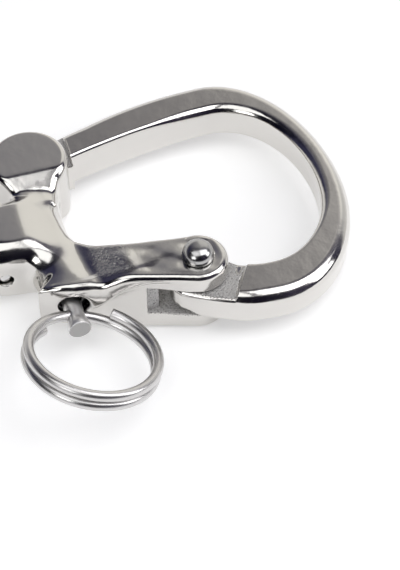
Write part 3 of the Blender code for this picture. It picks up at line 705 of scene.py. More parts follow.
def body_holes(solid, x, y, z):
    """The body less its bore, mouth, pivot hole, stud hole and lock pin hole."""
    radial = np.hypot(x - PLUNGER_X, z - MIDDLE)
    bore = np.maximum(radial - BORE_RADIUS, np.maximum(BORE_START_Y - y, y - BORE_END_Y))
    solid = soft_cut(solid, np.minimum(bore, radial - NOSE_BORE), HOLE_EDGE)
    mouth = np.hypot(x - PLUNGER_X - MOUTH_SHIFT, z - MIDDLE) - MOUTH_RADIUS
    solid = soft_cut(solid, np.maximum(mouth, y - MOUTH_DEPTH_Y), MOUTH_EDGE)
    flare = np.maximum(PIVOT_HOLE, PIVOT_FLARE - FLARE_SLOPE * z)
    solid = soft_cut(solid, np.hypot(x - PIVOT[0], y - PIVOT[1]) - flare, HOLE_EDGE)
    stud = np.maximum(np.hypot(y, z - MIDDLE) - STUD_HOLE, x - STUD_HOLE_END_X)
    solid = soft_cut(solid, stud, HUB_HOLE_EDGE)
    return soft_cut(solid, lock_hole(x, z), HUB_HOLE_EDGE)


print("the fork's slot is", 2 * SLOT_HALF, "mm wide, and the latch's", 2 * LATCH_HALF, "mm")

# %% [markdown]
# ## The body, joined and finished
# The forms are joined with fillets of 1.2 to 2 mm, trimmed to the thickness of the casting, and
# then cut. The slots are blasted, the hollow between the barrel and the arm keeps some grain
# because no buff reaches into it, the bore is painted dark as painted shade, and the arm's top is
# wavy from tumbling, but only inland, because waves at an edge would break up its highlight.

# %% Body
CASTING_CELL = 0.24
ARM_FILLET, HUB_FILLET = 1.2, 2.0
FACE_EDGE, SLOT_EDGE, LATCH_EDGE = 0.2, 0.35, 0.4


def body_field(x, y, z):
    """The body: four forms joined softly, trimmed to one thickness, less its openings."""
    solid = soft_join(barrel(x, y, z), fork_arm(x, y, z), ARM_FILLET)
    solid = soft_join(solid, latch_lug(x, y, z), ARM_FILLET)
    solid = soft_join(solid, hub(x, y, z), HUB_FILLET)
    solid = soft_meet(solid, np.abs(z - MIDDLE) - HALF_THICK, FACE_EDGE)
    solid = soft_cut(solid, fork_opening(x, y, z), SLOT_EDGE)
    solid = soft_cut(solid, latch_opening(x, y, z), LATCH_EDGE)
    return body_holes(solid, x, y, z)


body = cast("body_casting", body_field, "body", CASTING_CELL, cast_steel, "frame")

# %% Finish of the body
HOLLOW_GRAIN = 0.37
(x, y, z), (nx, _, nz) = places(body)
slots = np.minimum(fork_opening(x, y, z), latch_opening(x, y, z))
hollow = ramp(x, 9.8, 13.8) * ramp(x, 19.3, 14.8) * ramp(np.abs(nz), 0.7, 0.9)
hollow = hollow * ramp(above(near_edge, x, y), 1.0, 2.8) * (y < 0)
from_pin = np.hypot(x - PLUNGER_X, z - MIDDLE)
inward = -(nx * (x - PLUNGER_X) + nz * (z - MIDDLE)) / np.maximum(from_pin, 0.1)
inland = np.minimum(above(near_edge, x, y), -above(inner_edge, x, y))
inland = np.minimum(inland, FORK_RADIUS - np.maximum(x - PIVOT[0], 0))
# dark: painted shade inside the bore, on the faces that look in towards the pin
mark(body,
     blast=np.maximum(ramp(slots, 0.25, -0.05), HOLLOW_GRAIN * hollow),
     dark=ramp(from_pin, 3.5, 3.1) * ramp(inward, 0.55, 0.85) * (y < 0),
     wavy=ramp(x, 13, 18) * ramp(inland, 0.9, 2.7) * (y < 0) * (np.abs(nz) > 0.9))
print("share of the body that is blasted:", round(float((slots < 0.25).mean()), 2))

# %% [markdown]
# ## The jaw
# The jaw is a bow of even thickness, hinged at its near end and latched at its far tip. Its outline
# is two curves with quarter ellipses past the middle of the bow. A slanting step, where the bar
# is milled down to the tongue that turns in the fork, runs across the near arm. Sweeping a
# section along a path would give the bow, but not the step, the beak or the flat tip, so it is
# a distance like the body.

# %% Outlines of the jaw
BOW_INNER = {"middle": 41.0, "reach": 12.8, "tip": -0.6, "near": -17.8, "far": 18.1}
BOW_OUTER = {"middle": 40.6, "reach": 17.8, "tip": -2.0, "near": -25.55, "far": 25.5}
near_inner = smooth_curve((28, -10.2), (33, -14.6), (34.3, -15.7), (35.4, -16.5), (36.9, -17.2),
                          (38.5, -17.6), (40, -17.77), (41, -17.8), (43, -17.8))
near_outer = smooth_curve((21, -16.9), (23.5, -19.0), (25.2, -20.25), (26.8, -21.25), (28.4, -22.2),
                          (31, -23.45), (34.5, -24.85), (38, -25.4), (40.6, -25.55), (43, -25.55))
far_inner = smooth_curve((10, 13.0), (14.5, 14.4), (20, 15.75), (27, 17.1), (34, 17.85),
                         (41, 18.1), (43, 18.1))
far_outer = smooth_curve((2, 15.2), (8, 18.0), (14.5, 20.6), (20, 22.45), (27, 24.2), (34, 25.2),
                         (40.6, 25.5), (43, 25.5))


def ellipse(x, y, a, b):
    """Distance to an ellipse about the origin: exact on its axes, close elsewhere."""
    one = np.hypot(x / a, y / b)
    two = np.hypot(x / (a * a), y / (b * b))
    return one * (one - 1) / np.maximum(two, 1e-9)


def bow_edge(x, y, edge, near, far):
    """Distance outside the bow's edge: two quarter ellipses past its middle, two curves before it."""
    side = np.where(y < edge["tip"], edge["tip"] - edge["near"], edge["far"] - edge["tip"])
    bend = ellipse(x - edge["middle"], y - edge["tip"], edge["reach"], side)
    arms = np.where(y < edge["tip"], -above(near, x, y), above(far, x, y))
    return np.where(x > edge["middle"], bend, arms)


print("the bow is", BOW_INNER["far"] - BOW_INNER["near"], "mm wide inside")

# %% [markdown]
# ## The step and the tongue
# Milling leaves the tongue thinner than the bar, with a step that slants across it and a short
# fillet at its foot. The half thickness that the tongue is cut to is written as a height over the
# plan: low beside the pivot, rising at the step, and past the bar's own thickness beyond it, where
# it cuts nothing.

# %% Step
TONGUE_HALF = 2.7
TONGUE_LIFT = 0.4
STEP_FOOT, STEP_BELLY, STEP_MARGIN, PAST_BAR = 0.3, 0.35, 0.2, 3
STEP_START, STEP_END = np.array((36.5, -17.5)), np.array((32.8, -23.6))


def beside_step(x, y):
    """Distance to the right of the slanting step, and the place along it from 0 inside to 1 outside."""
    line = STEP_END - STEP_START
    length = np.hypot(*line)
    line = line / length
    right = (x - STEP_START[0]) * -line[1] + (y - STEP_START[1]) * line[0]
    along = (x - STEP_START[0]) * line[0] + (y - STEP_START[1]) * line[1]
    return right, along / length


def tongue_half(x, y):
    """Half thickness that the pivot tongue is cut to: it rises to the full bar at the step."""
    right, along = beside_step(x, y)
    width = STEP_FOOT + STEP_BELLY * np.sin(np.pi * np.clip(along, 0, 1))
    rise = np.clip(right / width + 1, 0, 1)
    start = TONGUE_HALF + TONGUE_LIFT * ramp(along, 0.7, 0) * ramp(right, -2.6, 0)
    return start + (JAW_HALF + STEP_MARGIN - start) * rise + PAST_BAR * np.clip(right, 0, 1)


print("the tongue is", 2 * TONGUE_HALF, "mm thick, and the bar", round(2 * JAW_HALF, 2), "mm")

# %% [markdown]
# ## The jaw, joined and finished
# Near the pivot the jaw is a disc with a beak: its heel, which grows towards the outside of the
# bow and fills the fork's pocket. Edges are rounder outside the bow than inside, as hands and
# buffing wheels reach them. The buffed flats are satin, and the tongue is blasted.

# %% Jaw
PIVOT_DISC, HEEL_SWELL, BEAK_SWELL = 4.3, 1.3, 3.0
BEAK_OVERLAP, BEAK_EDGE, BEAK_ROLL, BEAK_UNDER = 1.5, 0.6, 0.6, 1.5
TIP_Y, TIP_X, TIP_HALF = 12.65, 3.6, 3.0
TIP_STEP_X, FAR_ARM_X = (14.2, 14.7), 14.5
SOCKET_RADIUS, SOCKET_Y, SOCKET_EDGE = 2.0, (5.0, 17.0), 0.3
INNER_ROUNDING, OUTER_ROUNDING, TONGUE_ROUNDING = 0.8, 2.0, 0.3
INNER_GROWTH, OUTER_GROWTH = 0.9, 0.4


def jaw_outline(x, y, outer, inner):
    """Plan of the jaw: bar, beak and pivot disc on the near side, and the far arm with its tip.

    The beak's radius about the pivot grows with the angle: a little at the heel, and then more.
    """
    spindle = np.hypot(x - PIVOT[0], y - PIVOT[1])
    bar = np.maximum(np.maximum(outer, inner), PIVOT[0] - BEAK_OVERLAP * (y < PIVOT[1]) - x)
    turn = np.degrees(np.arctan2(y - PIVOT[1], x - PIVOT[0])) % 360
    reach = PIVOT_DISC + HEEL_SWELL * ramp(turn, 152, 212) + BEAK_SWELL * ramp(turn, 210, 255)
    beak = np.maximum(soft_meet(spindle - reach, outer, BEAK_EDGE), x - PIVOT[0] - BEAK_OVERLAP)
    near = np.minimum(np.minimum(bar, beak), spindle - PIVOT_DISC)
    far = np.maximum(np.maximum(outer, np.where(x < FAR_ARM_X, TIP_Y - y, inner)), TIP_X - x)
    return np.where(y < 0, near, far)


def jaw_rounding(x, y, outer, inner):
    """Radius of the bar's edges: small inside the bow, large outside, growing along the arms."""
    right, _ = beside_step(x, y)
    growth = np.where(y < 0, ramp(right, -2, 5), ramp(x, 14, 20))
    inside = INNER_ROUNDING + INNER_GROWTH * ramp(y, -17, -5) * ramp(x, 26, 40)
    return inside + ramp(outer - inner, -3, 3) * (OUTER_ROUNDING + OUTER_GROWTH * growth - inside)


def jaw_field(x, y, z):
    """The jaw: a rounded bar, thinned to a tongue and a tip, less the pivot hole and the socket."""
    outer = bow_edge(x, y, BOW_OUTER, near_outer, far_outer)
    inner = -bow_edge(x, y, BOW_INNER, near_inner, far_inner)
    outline = jaw_outline(x, y, outer, inner)
    up = np.abs(z - MIDDLE)
    solid = plate(outline, up - JAW_HALF, jaw_rounding(x, y, outer, inner))
    limit = np.where(y < 0, tongue_half(x, y), TIP_HALF + PAST_BAR * ramp(x, *TIP_STEP_X))
    under = BEAK_UNDER * ramp(x, 28.0, 24.5) * (z < MIDDLE) * (y < 0)
    roll = TONGUE_ROUNDING + (BEAK_ROLL + under) * ramp(y, -15, -18)
    solid = soft_meet(solid, plate(outline, up - limit, roll), FACE_EDGE)
    solid = soft_cut(solid, np.hypot(x - PIVOT[0], y - PIVOT[1]) - PIVOT_HOLE, HOLE_EDGE)
    socket = np.hypot(x - PLUNGER_X, z - MIDDLE) - SOCKET_RADIUS
    socket = np.maximum(np.maximum(socket, y - SOCKET_Y[1]), SOCKET_Y[0] - y)
    return soft_cut(solid, socket, SOCKET_EDGE)


jaw = cast("jaw_bow", jaw_field, "jaw", CASTING_CELL, cast_steel, "jaw")

# %% Finish of the jaw
# The tongue is darkened towards the painted shade colour, so that it stays darker than the slots, whose
# blast colour is lifted as painted light.
TONGUE_DARKENING = 0.34
(x, y, _), (_, _, nz) = places(jaw)
flat = ramp(np.abs(nz), 0.965, 0.99)
right, _ = beside_step(x, y)
tongue = np.where(y < 0, ramp(right, 0.1, -0.4) * (x < 40), 1 - ramp(x, *TIP_STEP_X))
mark(jaw, blast=tongue * flat, satin=flat * (1 - tongue), dark=TONGUE_DARKENING * tongue * flat)
print("share of the jaw that is satin:", round(float((flat * (1 - tongue)).mean()), 2))

# %% [markdown]
# ## Turned pieces
# Rivet, bush, washer and lock pin come off a lathe, so each is a profile swept round an axis. The
# Screw modifier does the same, but a grid of angle and profile as whole arrays needs no modifier
# stack, and the poles are welded shut in one step. Edges over 40 degrees stay sharp, as a tool
# leaves them.

# %% Lathe
SHARP_ANGLE = math.radians(40)


def weld(piece):
    """Merge the points that meet at poles and seams, and drop the faces that lose their area."""
    bm = bmesh.new()
    bm.from_mesh(piece.data)
    bmesh.ops.remove_doubles(bm, verts=bm.verts, dist=1e-7)
    bmesh.ops.dissolve_degenerate(bm, edges=bm.edges, dist=1e-8)
    bmesh.ops.recalc_face_normals(bm, faces=bm.faces)
    bm.to_mesh(piece.data)
    bm.free()
    piece.data.shade_smooth()
    piece.data.set_sharp_from_angle(angle=SHARP_ANGLE)


def tube_grid(rows, sides):
    """Row and column of each face of a grid that closes on itself sideways, and its four corners."""
    row, column = np.meshgrid(np.arange(rows - 1), np.arange(sides), indexing="ij")
    corner = row * sides + column
    beside = row * sides + (column + 1) % sides
    return row, column, np.stack([corner, beside, beside + sides, corner + sides], -1).reshape(-1, 4)


def turned(name, profile, axis, centre, material, node, sides=96):
    """Surface of revolution: radius r(s) and place t(s) along the axis, swept through a full turn.

    The profile is a closed or end-capped row of (place, radius); rows at radius 0 close the ends.
    """
    place, radius = np.array(profile, float).T
    angle = np.linspace(0, 2 * np.pi, sides, endpoint=False)
    a, b = radius[:, None] * np.cos(angle), radius[:, None] * np.sin(angle)
    t = np.broadcast_to(place[:, None], a.shape)
    grid = {"X": (t, a, b), "Y": (b, t, a), "Z": (a, b, t)}[axis]
    points = np.stack(grid, -1).reshape(-1, 3) + np.array(centre)
    faces = tube_grid(len(profile), sides)[2]
    weld(piece_from(name, points, faces, material, "frame", [node]))


def arc(centre, radius, start, end, count=6):
    """Points of an arc in (place, radius) space, angles in degrees from the place axis."""
    angle = np.radians(np.linspace(start, end, count))
    return [(centre[0] + radius * np.cos(q), centre[1] + radius * np.sin(q)) for q in angle]


print("turned edges over", round(math.degrees(SHARP_ANGLE)), "degrees stay sharp")

# %% [markdown]
# ## The rivet
# The rivet has a domed head on top, on a short upright side, and its foot is peened over into the
# flare under the fork. A half ball would be too pointed for the head, so the dome is an ellipse whose
# sine and cosine have powers below 1, which makes its shoulder fuller.

# %% Rivet
HEAD_RADIUS, HEAD_EDGE, HEAD_SIDE, HEAD_LIFT = 2.65, 0.12, 0.2, 0.06
SHANK_RADIUS = 2.2
FOOT_RADIUS, FOOT_EDGE, FOOT_RISE, FOOT_Z, FOOT_TOP_Z = 3.2, 0.3, 0.25, 0.1, 1.8
DOME_RISE_POWER, DOME_SIDE_POWER = 0.95, 0.78
head_base = 2 * HALF_THICK + HEAD_LIFT
dome_rise = node_box("pivot_rivet")[1][2] - head_base - HEAD_SIDE
swell = np.radians(np.linspace(0, 90, 30))
rivet = [(FOOT_Z, 0.0), (FOOT_Z, FOOT_RADIUS - FOOT_EDGE), (FOOT_Z + FOOT_RISE, FOOT_RADIUS)]
rivet += [(FOOT_TOP_Z, SHANK_RADIUS), (head_base, SHANK_RADIUS), (head_base, HEAD_RADIUS - HEAD_EDGE)]
rivet += arc((head_base + HEAD_EDGE, HEAD_RADIUS - HEAD_EDGE), HEAD_EDGE, 180, 90, 5)
rivet += [(head_base + HEAD_SIDE + dome_rise * np.sin(q) ** DOME_RISE_POWER,
           HEAD_RADIUS * np.cos(q) ** DOME_SIDE_POWER) for q in swell]
turned("rivet", rivet, "Z", (PIVOT[0], PIVOT[1], 0), turned_z, "pivot_rivet")

# %% [markdown]
# ## Bush, washer and lock pin
# The bush closes the barrel's bore and guides the plunger, the washer takes the thrust of the
# swivel, and the lock pin keeps the stud in the hub. Bush and washer are rectangles with rounded
# corners that close on themselves, and the pin is half a profile and its mirror image.

# %% Bush, washer and lock pin
PULL_RADIUS, BUSH_PLAY, BUSH_EDGE = 1.85, 0.3, 0.25
WASHER_HOLE, WASHER_EDGE = 2.6, 0.3
LOCK_EDGE, LOCK_SIDES = 0.3, 48


def closed_ring(start, end, inner, outer, edge):
    """Profile of a bush or a washer: a rectangle with rounded corners, closed on itself."""
    corners = arc((start + edge, outer - edge), edge, 180, 90)
    corners += arc((end - edge, outer - edge), edge, 90, 0)
    corners += arc((end - edge, inner + edge), edge, 0, -90)
    corners += arc((start + edge, inner + edge), edge, -90, -180)
    return corners + corners[:1]


low, high = node_box("plunger_bush")
bush = closed_ring(low[1], high[1], PULL_RADIUS + BUSH_PLAY, (high[0] - low[0]) / 2, BUSH_EDGE)
turned("bush", bush, "Y", (PLUNGER_X, 0, MIDDLE), bush_painted_shade_steel, "plunger_bush")
low, high = node_box("swivel_washer")
washer = closed_ring(low[0], high[0], WASHER_HOLE, (high[1] - low[1]) / 2, WASHER_EDGE)
turned("washer", washer, "X", (0, 0, MIDDLE), turned_x, "swivel_washer")
low, high = node_box("stud_lock_pin")
lock_radius = (high[0] - low[0]) / 2
lock = [(low[1], 0.0), (low[1], lock_radius - LOCK_EDGE)]
lock += arc((low[1] + LOCK_EDGE, lock_radius - LOCK_EDGE), LOCK_EDGE, 180, 90)
lock += [(-place, radius) for place, radius in reversed(lock)]
turned("lock_pin", lock, "Y", ((low[0] + high[0]) / 2, 0, MIDDLE), turned_y, "stud_lock_pin", LOCK_SIDES)

# %% [markdown]
# ## The plunger
# The plunger is a turned pin with a collar that the spring pushes on and a nose that locks the
# jaw. The pull ring goes through a cross hole near its flared end. A profile swept round an axis
# can't hold a cross hole, so the pin is a distance too, and its sawn end face is duller than the rest.

# %% Plunger
PULL_SHANK, PULL_END, PULL_EDGE = 1.58, 1.95, 0.22
FLARE_START, FLARE_FULL = 2.6, 0.4
WAIST_RADIUS, COLLAR_RADIUS = 1.6, 2.75
PULL_INNER_Y, WAIST_Y, COLLAR_Y, NOSE_Y = -10.9, (-11.5, -5.0), (-5.6, -4.2), -5.0
WAIST_BEVEL, COLLAR_BEVEL, NOSE_BEVEL = 0.05, 0.2, 0.35
RING_HOLE, RING_HOLE_SHIFT, RING_HOLE_EDGE = 1.03, np.array((0, -0.06, 0)), 0.12
PLUNGER_CELL = 0.15
pin_low, pin_high = node_box("plunger_pin")
pin_end = pin_low[1]


def rod(radial, along, start, end, radius, bevel):
    """Straight round rod with bevelled ends: the largest of its side, its ends and their slanting sum."""
    side, ends = radial - radius, np.maximum(start - along, along - end)
    return np.maximum(np.maximum(side, ends), (side + ends + bevel) / math.sqrt(2))


def plunger_field(x, y, z):
    """The plunger: flared pull, waist, collar and nose along Y, less the ring's hole."""
    radial = np.hypot(x - PLUNGER_X, z - MIDDLE)
    flare = PULL_SHANK + (PULL_END - PULL_SHANK) * ramp(y, pin_end + FLARE_START, pin_end + FLARE_FULL)
    pull = plate(radial - flare, np.maximum(pin_end - y, y - PULL_INNER_Y), PULL_EDGE)
    waist = rod(radial, y, *WAIST_Y, WAIST_RADIUS, WAIST_BEVEL)
    collar = rod(radial, y, *COLLAR_Y, COLLAR_RADIUS, COLLAR_BEVEL)
    nose = rod(radial, y, NOSE_Y, pin_high[1], WAIST_RADIUS, NOSE_BEVEL)
    solid = np.minimum(np.minimum(pull, waist), np.minimum(collar, nose))
    away = np.stack(np.broadcast_arrays(x, y, z), -1) - RING_CROSSING - RING_HOLE_SHIFT
    along = away @ RING_AXIS
    hole = np.sqrt(np.maximum((away * away).sum(-1) - along * along, 0)) - RING_HOLE
    return soft_cut(solid, hole, RING_HOLE_EDGE)


plunger = cast("plunger", plunger_field, "plunger_pin", PLUNGER_CELL, pull_steel_painted_light, "plunger")
(_, y, _), (_, ny, _) = places(plunger)
mark(plunger, sawn=ramp(y, pin_end + 0.12, pin_end + 0.02) * ramp(-ny, 0.8, 0.95))

# %% [markdown]
# ## The stud
# The eye turns on a headed stud that is fixed in the hub by the lock pin. It is a rod with a larger
# rod for its head, less the lock pin's hole, made as a distance because of that cross hole.

# %% Stud
HEAD_X, STUD_SHANK_X = -14.5, -15.0
STUD_HEAD, STUD_SHANK = 3.6, 2.3
STUD_HEAD_BEVEL, STUD_END_BEVEL = 0.5, 0.3
STUD_CELL = 0.2
stud_low, stud_high = node_box("swivel_stud")


def stud_field(x, y, z):
    """The stud: head and shank along X, less the lock pin's hole."""
    radial = np.hypot(y, z - MIDDLE)
    head = rod(radial, x, stud_low[0], HEAD_X, STUD_HEAD, STUD_HEAD_BEVEL)
    shank = rod(radial, x, STUD_SHANK_X, stud_high[0], STUD_SHANK, STUD_END_BEVEL)
    return soft_cut(np.minimum(head, shank), lock_hole(x, z), HOLE_EDGE)


cast("stud", stud_field, "swivel_stud", STUD_CELL, turned_x, "frame")

# %% [markdown]
# ## The swivel eye
# The eye is a cast hoop on a neck that turns on the stud, with a recess inside the hoop for the
# stud's head. The hoop is a flat ring with round edges and the neck is a rounded rectangle that
# changes from wide and low to nearly square, so that the join swells as a real casting does.

# %% Eye
EYE_X, EYE_HOLE, EYE_OUTER, EYE_HALF, EYE_ROUNDING = -20.3, 6.0, 10.8, 3.1, 2.0
NECK_START_X, NECK_END_X, NECK_CORNER, NECK_ROUNDING = -17.5, -7.2, 3.2, 0.6
RECESS_RADIUS, RECESS_X, RECESS_END_X = 3.9, -22, -14.2
NECK_FILLET, EYE_HOLE_EDGE, RECESS_EDGE = 2.2, 1.6, 0.25
EYE_CELL = 0.26
neck_width = smooth_curve((-17.5, 7.4), (-14.4, 6.6), (-12, 5.6), (-9.5, 5.2), (-7.2, 5.2))
neck_height = smooth_curve((-17.5, 2.8), (-14.4, 3.6), (-12, 4.4), (-9.5, 4.8), (-7.2, 4.8))


def eye_field(x, y, z):
    """The eye: hoop and neck joined softly, less the hoop's hole, the stud's hole and the recess.

    The stud's hole ends inside the hoop: past that its distance is pushed out of reach.
    """
    circle, up = np.hypot(x - EYE_X, y), np.abs(z - MIDDLE)
    hoop = plate(np.maximum(circle - EYE_OUTER, EYE_HOLE - circle), up - EYE_HALF, EYE_ROUNDING)
    section = plate(np.abs(y) - neck_width(x)[0], up - neck_height(x)[0], NECK_CORNER)
    neck = plate(section, np.maximum(NECK_START_X - x, x - NECK_END_X), NECK_ROUNDING)
    solid = soft_join(hoop, neck, NECK_FILLET)
    solid = soft_cut(solid, circle - EYE_HOLE, EYE_HOLE_EDGE)
    radial = np.hypot(y, z - MIDDLE)
    solid = soft_cut(solid, radial - STUD_HOLE + PAST_ALL * (x < RECESS_X), HOLE_EDGE)
    recess = np.maximum(radial - RECESS_RADIUS, np.maximum(x - RECESS_END_X, RECESS_X - x))
    return soft_cut(solid, recess, RECESS_EDGE)


cast("eye_casting", eye_field, "swivel_eye", EYE_CELL, cast_steel, "eye")

# %% [markdown]
# ## Wire
# A wire is a circle carried along a path. A curve with a bevel would do the same, but its ends
# would be flat discs with a hard rim and its UV map would not run in real lengths. Here the ends
# close in a few short rings that round the cut, and the UV map measures the travel along the wire,
# so that the drawn streaks keep their scale.

# %% Wire
CUT_ROUND = 0.22
CAP_STEPS = np.array([0.0, 0.0, 0.3, 1.0])
CAP_INSET = np.array([np.inf, 1.0, 0.3, 0.0])
UV_LENGTH = 40.0


def wire(name, path, upright, radius, body, node, sides=28):
    """Round tube along a path: at each point a circle square to the path.

    The circle's first direction is a fixed upright less the part of it that lies along the path,
    and its second is square to both; the ends are closed with a flat cap and a small round.
    """
    along = np.gradient(path, axis=0)
    along /= np.linalg.norm(along, axis=1, keepdims=True)
    first = upright - along * (along @ upright)[:, None]
    first /= np.linalg.norm(first, axis=1, keepdims=True)
    second = np.cross(along, first)
    edge = CUT_ROUND * radius
    shift, size = edge * CAP_STEPS, np.maximum(radius - edge * CAP_INSET, 0)
    last, middle = len(path) - 1, len(path) - 2
    keep = np.concatenate([np.zeros(len(shift), int), np.arange(1, last), np.full(len(shift), last)])
    offset = np.concatenate([shift, np.zeros(middle), -shift[::-1]])
    radii = np.concatenate([size, np.full(middle, radius), size[::-1]])
    centre = path[keep] + along[keep] * offset[:, None]
    angle = np.linspace(0, 2 * np.pi, sides, endpoint=False)[:, None]
    circle = first[keep][:, None] * np.cos(angle) + second[keep][:, None] * np.sin(angle)
    points = (centre[:, None] + circle * radii[:, None, None]).reshape(-1, 3)
    row, column, faces = tube_grid(len(keep), sides)
    piece = piece_from(name, points, faces, wire_steel, body, [node])
    travel = np.concatenate([[0], np.cumsum(np.linalg.norm(np.diff(centre, axis=0), axis=1))])
    across = np.stack([column, column + 1, column + 1, column], -1).reshape(-1) / sides
    length = np.stack([travel[row], travel[row], travel[row + 1], travel[row + 1]], -1).reshape(-1)
    layer = piece.data.uv_layers.new(name="wire")
    layer.data.foreach_set("uv", np.stack([across, length / UV_LENGTH], 1).ravel().astype(np.float32))
    weld(piece)
    return piece


# %% [markdown]
# ## The pull ring
# A split ring is nearly two turns of wire, side by side, whose cut ends stop short of the hole that
# it hangs in. Its plane holds the hinge axis of the swing and droops a little below the level, as
# the ring does when its far side rests on the table. The path is a flat helix.

# %% Pull ring
RING_RADIUS, RING_WIRE, RING_PITCH = 10.55, 0.90, 1.88
RING_ENDS, RING_STEPS = 31, 420
RING_TILT = math.radians(10.5)
level_out = np.cross((0.0, 0.0, 1.0), RING_AXIS)
level_out /= np.linalg.norm(level_out)
ring_out = math.cos(RING_TILT) * level_out - math.sin(RING_TILT) * np.cross(RING_AXIS, level_out)
ring_square = np.cross(RING_AXIS, ring_out)
turns = np.linspace(RING_ENDS, 720 - RING_ENDS, RING_STEPS)
angle = np.radians(turns)
ring_path = RING_CROSSING - RING_RADIUS * ring_out + RING_RADIUS * np.outer(np.sin(angle), RING_AXIS)
ring_path += RING_RADIUS * np.outer(np.cos(angle), ring_out)
ring_path += np.outer(RING_PITCH * (360 - turns) / 360, ring_square)
wire("pull_ring_wire", ring_path, ring_square, RING_WIRE, "pull_ring", "split_ring")

# %% [markdown]
# ## The spring
# The spring sits round the plunger between the bush and the collar, where it isn't seen, but the
# plunger moves through it. Its path is a helix of four turns that spans the spring's box.

# %% Spring
SPRING_WIRE, SPRING_TURNS, SPRING_STEPS, SPRING_SIDES = 0.32, 4, 400, 16
spring_low, spring_high = node_box("plunger_spring")
share = np.linspace(0, 1, SPRING_STEPS)
angle = 2 * np.pi * SPRING_TURNS * share
mean_radius = (spring_high[2] - spring_low[2]) / 2 - SPRING_WIRE
spring_y = spring_low[1] + SPRING_WIRE + (spring_high[1] - spring_low[1] - 2 * SPRING_WIRE) * share
spring_x = PLUNGER_X + mean_radius * np.sin(angle)
spring_z = MIDDLE + mean_radius * np.cos(angle)
spring_path = np.stack([spring_x, spring_y, spring_z], 1)
spring = wire("spring_wire", spring_path, np.array((0.0, 1.0, 0.0)), SPRING_WIRE, "frame", "plunger_spring",
              SPRING_SIDES)
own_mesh(spring)

# %% [markdown]
# ## The floor
# The object lies on white paper. Paper that is only lit would be grey, and more light would bleach
# the steel, so the paper also glows a little, but only for the camera and for what mirrors it. It
# still takes the object's shadow, because the glow is less than white.

# %% Floor
FLOOR_REACH = 4.0
FLOOR_GLOW = 0.33
PAPER = (0.9, 0.9, 0.9, 1)


def math_node(tree, kind, a, b):
    """Math node in a tree; a and b are numbers or outputs of other nodes."""
    node = tree.nodes.new("ShaderNodeMath")
    node.operation = kind
    for socket, value in zip(node.inputs, (a, b)):
        if isinstance(value, float):
            socket.default_value = value
        else:
            tree.links.new(value, socket)
    return node.outputs[0]


def white_paper():
    """Diffuse white paper, with a glow for camera, glossy and transmission rays."""
    paper = bpy.data.materials.new("white_paper")
    paper.use_nodes = True
    tree = paper.node_tree
    tree.nodes.clear()
    ray = tree.nodes.new("ShaderNodeLightPath").outputs
    seen = math_node(tree, "MAXIMUM", ray["Is Camera Ray"], ray["Is Glossy Ray"])
    seen = math_node(tree, "MAXIMUM", seen, ray["Is Transmission Ray"])
    emission = tree.nodes.new("ShaderNodeEmission")
    tree.links.new(math_node(tree, "MULTIPLY", seen, FLOOR_GLOW), emission.inputs["Strength"])
    diffuse = tree.nodes.new("ShaderNodeBsdfDiffuse")
    diffuse.inputs["Color"].default_value = PAPER
    both = tree.nodes.new("ShaderNodeAddShader")
    tree.links.new(emission.outputs[0], both.inputs[0])
    tree.links.new(diffuse.outputs[0], both.inputs[1])
    output = tree.nodes.new("ShaderNodeOutputMaterial")
    tree.links.new(both.outputs[0], output.inputs["Surface"])
    return paper


mesh = bpy.data.meshes.new("floor")
mesh.from_pydata([(-FLOOR_REACH, -FLOOR_REACH, 0), (FLOOR_REACH, -FLOOR_REACH, 0),
                  (FLOOR_REACH, FLOOR_REACH, 0), (-FLOOR_REACH, FLOOR_REACH, 0)], [], [(0, 1, 2, 3)])
mesh.materials.append(white_paper())
floor = bpy.data.objects.new("floor", mesh)
bpy.context.scene.collection.objects.link(floor)
print("floor", 2 * FLOOR_REACH, "m wide")

# %% [markdown]
# ## The room
# Polished steel looks like what is round it. An evenly white room would make it flat and pale, so
# the room is light low behind the object and to the right, and dark above and to the left. It is two
# ramps multiplied: one by the height of the view over the horizon, and one from left to right.
# A third ramp keeps a light band low down all round.

# %% Room
BY_HEIGHT = ((0.0, (1.0, 0.99, 0.97)), (0.24, (0.98, 0.97, 0.95)), (0.31, (0.84, 0.83, 0.83)),
             (0.35, (0.16, 0.155, 0.19)), (0.47, (0.06, 0.055, 0.10)), (0.66, (0.035, 0.03, 0.06)),
             (1.0, (0.035, 0.03, 0.055)))
LEFT_TO_RIGHT = ((0.30, (0.045, 0.045, 0.09)), (0.46, (0.18, 0.18, 0.22)), (0.585, (0.39, 0.385, 0.395)),
                 (0.612, (0.46, 0.455, 0.45)), (0.642, (0.98, 0.97, 0.94)), (0.86, (1.0, 0.99, 0.96)),
                 (0.89, (0.7, 0.7, 0.7)))
LOW_BAND = ((0.0, (0.9, 0.89, 0.87)), (0.10, (0.85, 0.84, 0.83)), (0.18, (0.0, 0.0, 0.0)))


def ramp_node(tree, value, stops):
    """Colour ramp with (place, colour) stops."""
    node = tree.nodes.new("ShaderNodeValToRGB")
    tree.links.new(value, node.inputs["Fac"])
    elements = node.color_ramp.elements
    while len(elements) < len(stops):
        elements.new(0.5)
    for element, (place, colour) in zip(elements, stops):
        element.position = place
        element.color = (*colour, 1)
    return node.outputs["Color"]


def combine_colours(tree, kind, a, b):
    """Two colours combined in full, by product or by the lighter of the two."""
    node = tree.nodes.new("ShaderNodeMix")
    node.data_type = "RGBA"
    node.blend_type = kind
    node.inputs[0].default_value = 1.0
    tree.links.new(a, node.inputs[6])
    tree.links.new(b, node.inputs[7])
    return node.outputs[2]


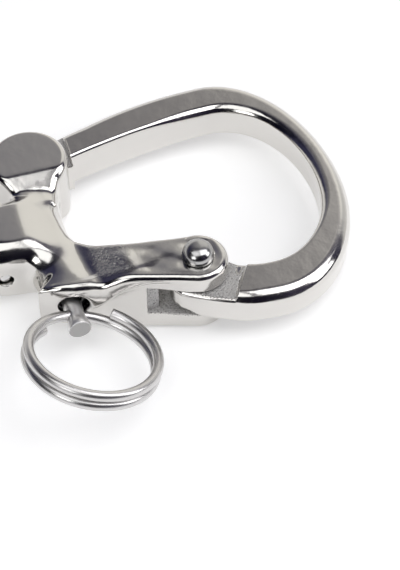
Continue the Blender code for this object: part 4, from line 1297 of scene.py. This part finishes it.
world = bpy.data.worlds.new("studio")
bpy.context.scene.world = world
world.use_nodes = True
tree = world.node_tree
split = tree.nodes.new("ShaderNodeSeparateXYZ")
tree.links.new(tree.nodes.new("ShaderNodeTexCoord").outputs["Generated"], split.inputs[0])
lift = math_node(tree, "ARCTAN2", split.outputs["Z"], split.outputs["Y"])
lift = math_node(tree, "DIVIDE", lift, math.pi)
across = math_node(tree, "ADD", math_node(tree, "MULTIPLY", split.outputs["X"], 0.5), 0.5)
by_height = ramp_node(tree, lift, BY_HEIGHT)
by_side = ramp_node(tree, across, LEFT_TO_RIGHT)
room = combine_colours(tree, "MULTIPLY", by_height, by_side)
room = combine_colours(tree, "LIGHTEN", room, ramp_node(tree, lift, LOW_BAND))
tree.links.new(room, tree.nodes["Background"].inputs["Color"])
print("room:", len(tree.nodes), "nodes")

# %% [markdown]
# ## Lamps and camera
# Two wide panels hang above the table and two small ones stand at the sides. Panels give soft
# shadows, and their edges show in the steel as clean highlights, which point lamps would not
# give. The camera looks down at the table from the front left with a long lens, as in the picture
# of the real one, so the object keeps its proportions.

# %% Lamps


def softbox(name, place, target, size, power):
    """Soft panel lamp that faces a target."""
    data = bpy.data.lights.new(name, "AREA")
    data.shape = "RECTANGLE"
    data.size, data.size_y = size
    data.energy = power
    lamp = bpy.data.objects.new(name, data)
    lamp.location = place
    lamp.rotation_euler = (Vector(target) - Vector(place)).to_track_quat("-Z", "Y").to_euler()
    bpy.context.scene.collection.objects.link(lamp)
    print(name, power, "W")


softbox("top_left_softbox", (-0.125, -0.10, 0.45), (-0.125, -0.05, 0), (0.35, 0.36), 0.60)
softbox("top_right_softbox", (0.325, -0.10, 0.45), (0.325, -0.05, 0), (0.47, 0.36), 1.45)
softbox("left_softbox", (-0.36, -0.34, 0.30), (0, 0, 0), (0.25, 0.25), 0.6)
softbox("right_softbox", (0.50, -0.20, 0.25), (0.03, 0, 0), (0.25, 0.25), 0.6)

# %% Camera
CAMERA_PLACE = (-0.0276, -0.2001, 0.24325)
CAMERA_LOOK = Vector((0.184, 0.602, -0.777))
LENS, SENSOR, NEAREST = 115.6, 36, 0.01
camera_data = bpy.data.cameras.new("camera")
camera_data.lens = LENS
camera_data.sensor_width = SENSOR
camera_data.clip_start = NEAREST
camera = bpy.data.objects.new("camera", camera_data)
camera.location = CAMERA_PLACE
camera.rotation_euler = CAMERA_LOOK.to_track_quat("-Z", "Y").to_euler()
bpy.context.scene.collection.objects.link(camera)
bpy.context.scene.camera = camera
bpy.context.scene.view_settings.view_transform = "Standard"
print("camera looks down at", round(math.degrees(math.asin(-CAMERA_LOOK.normalized().z)), 1), "degrees")
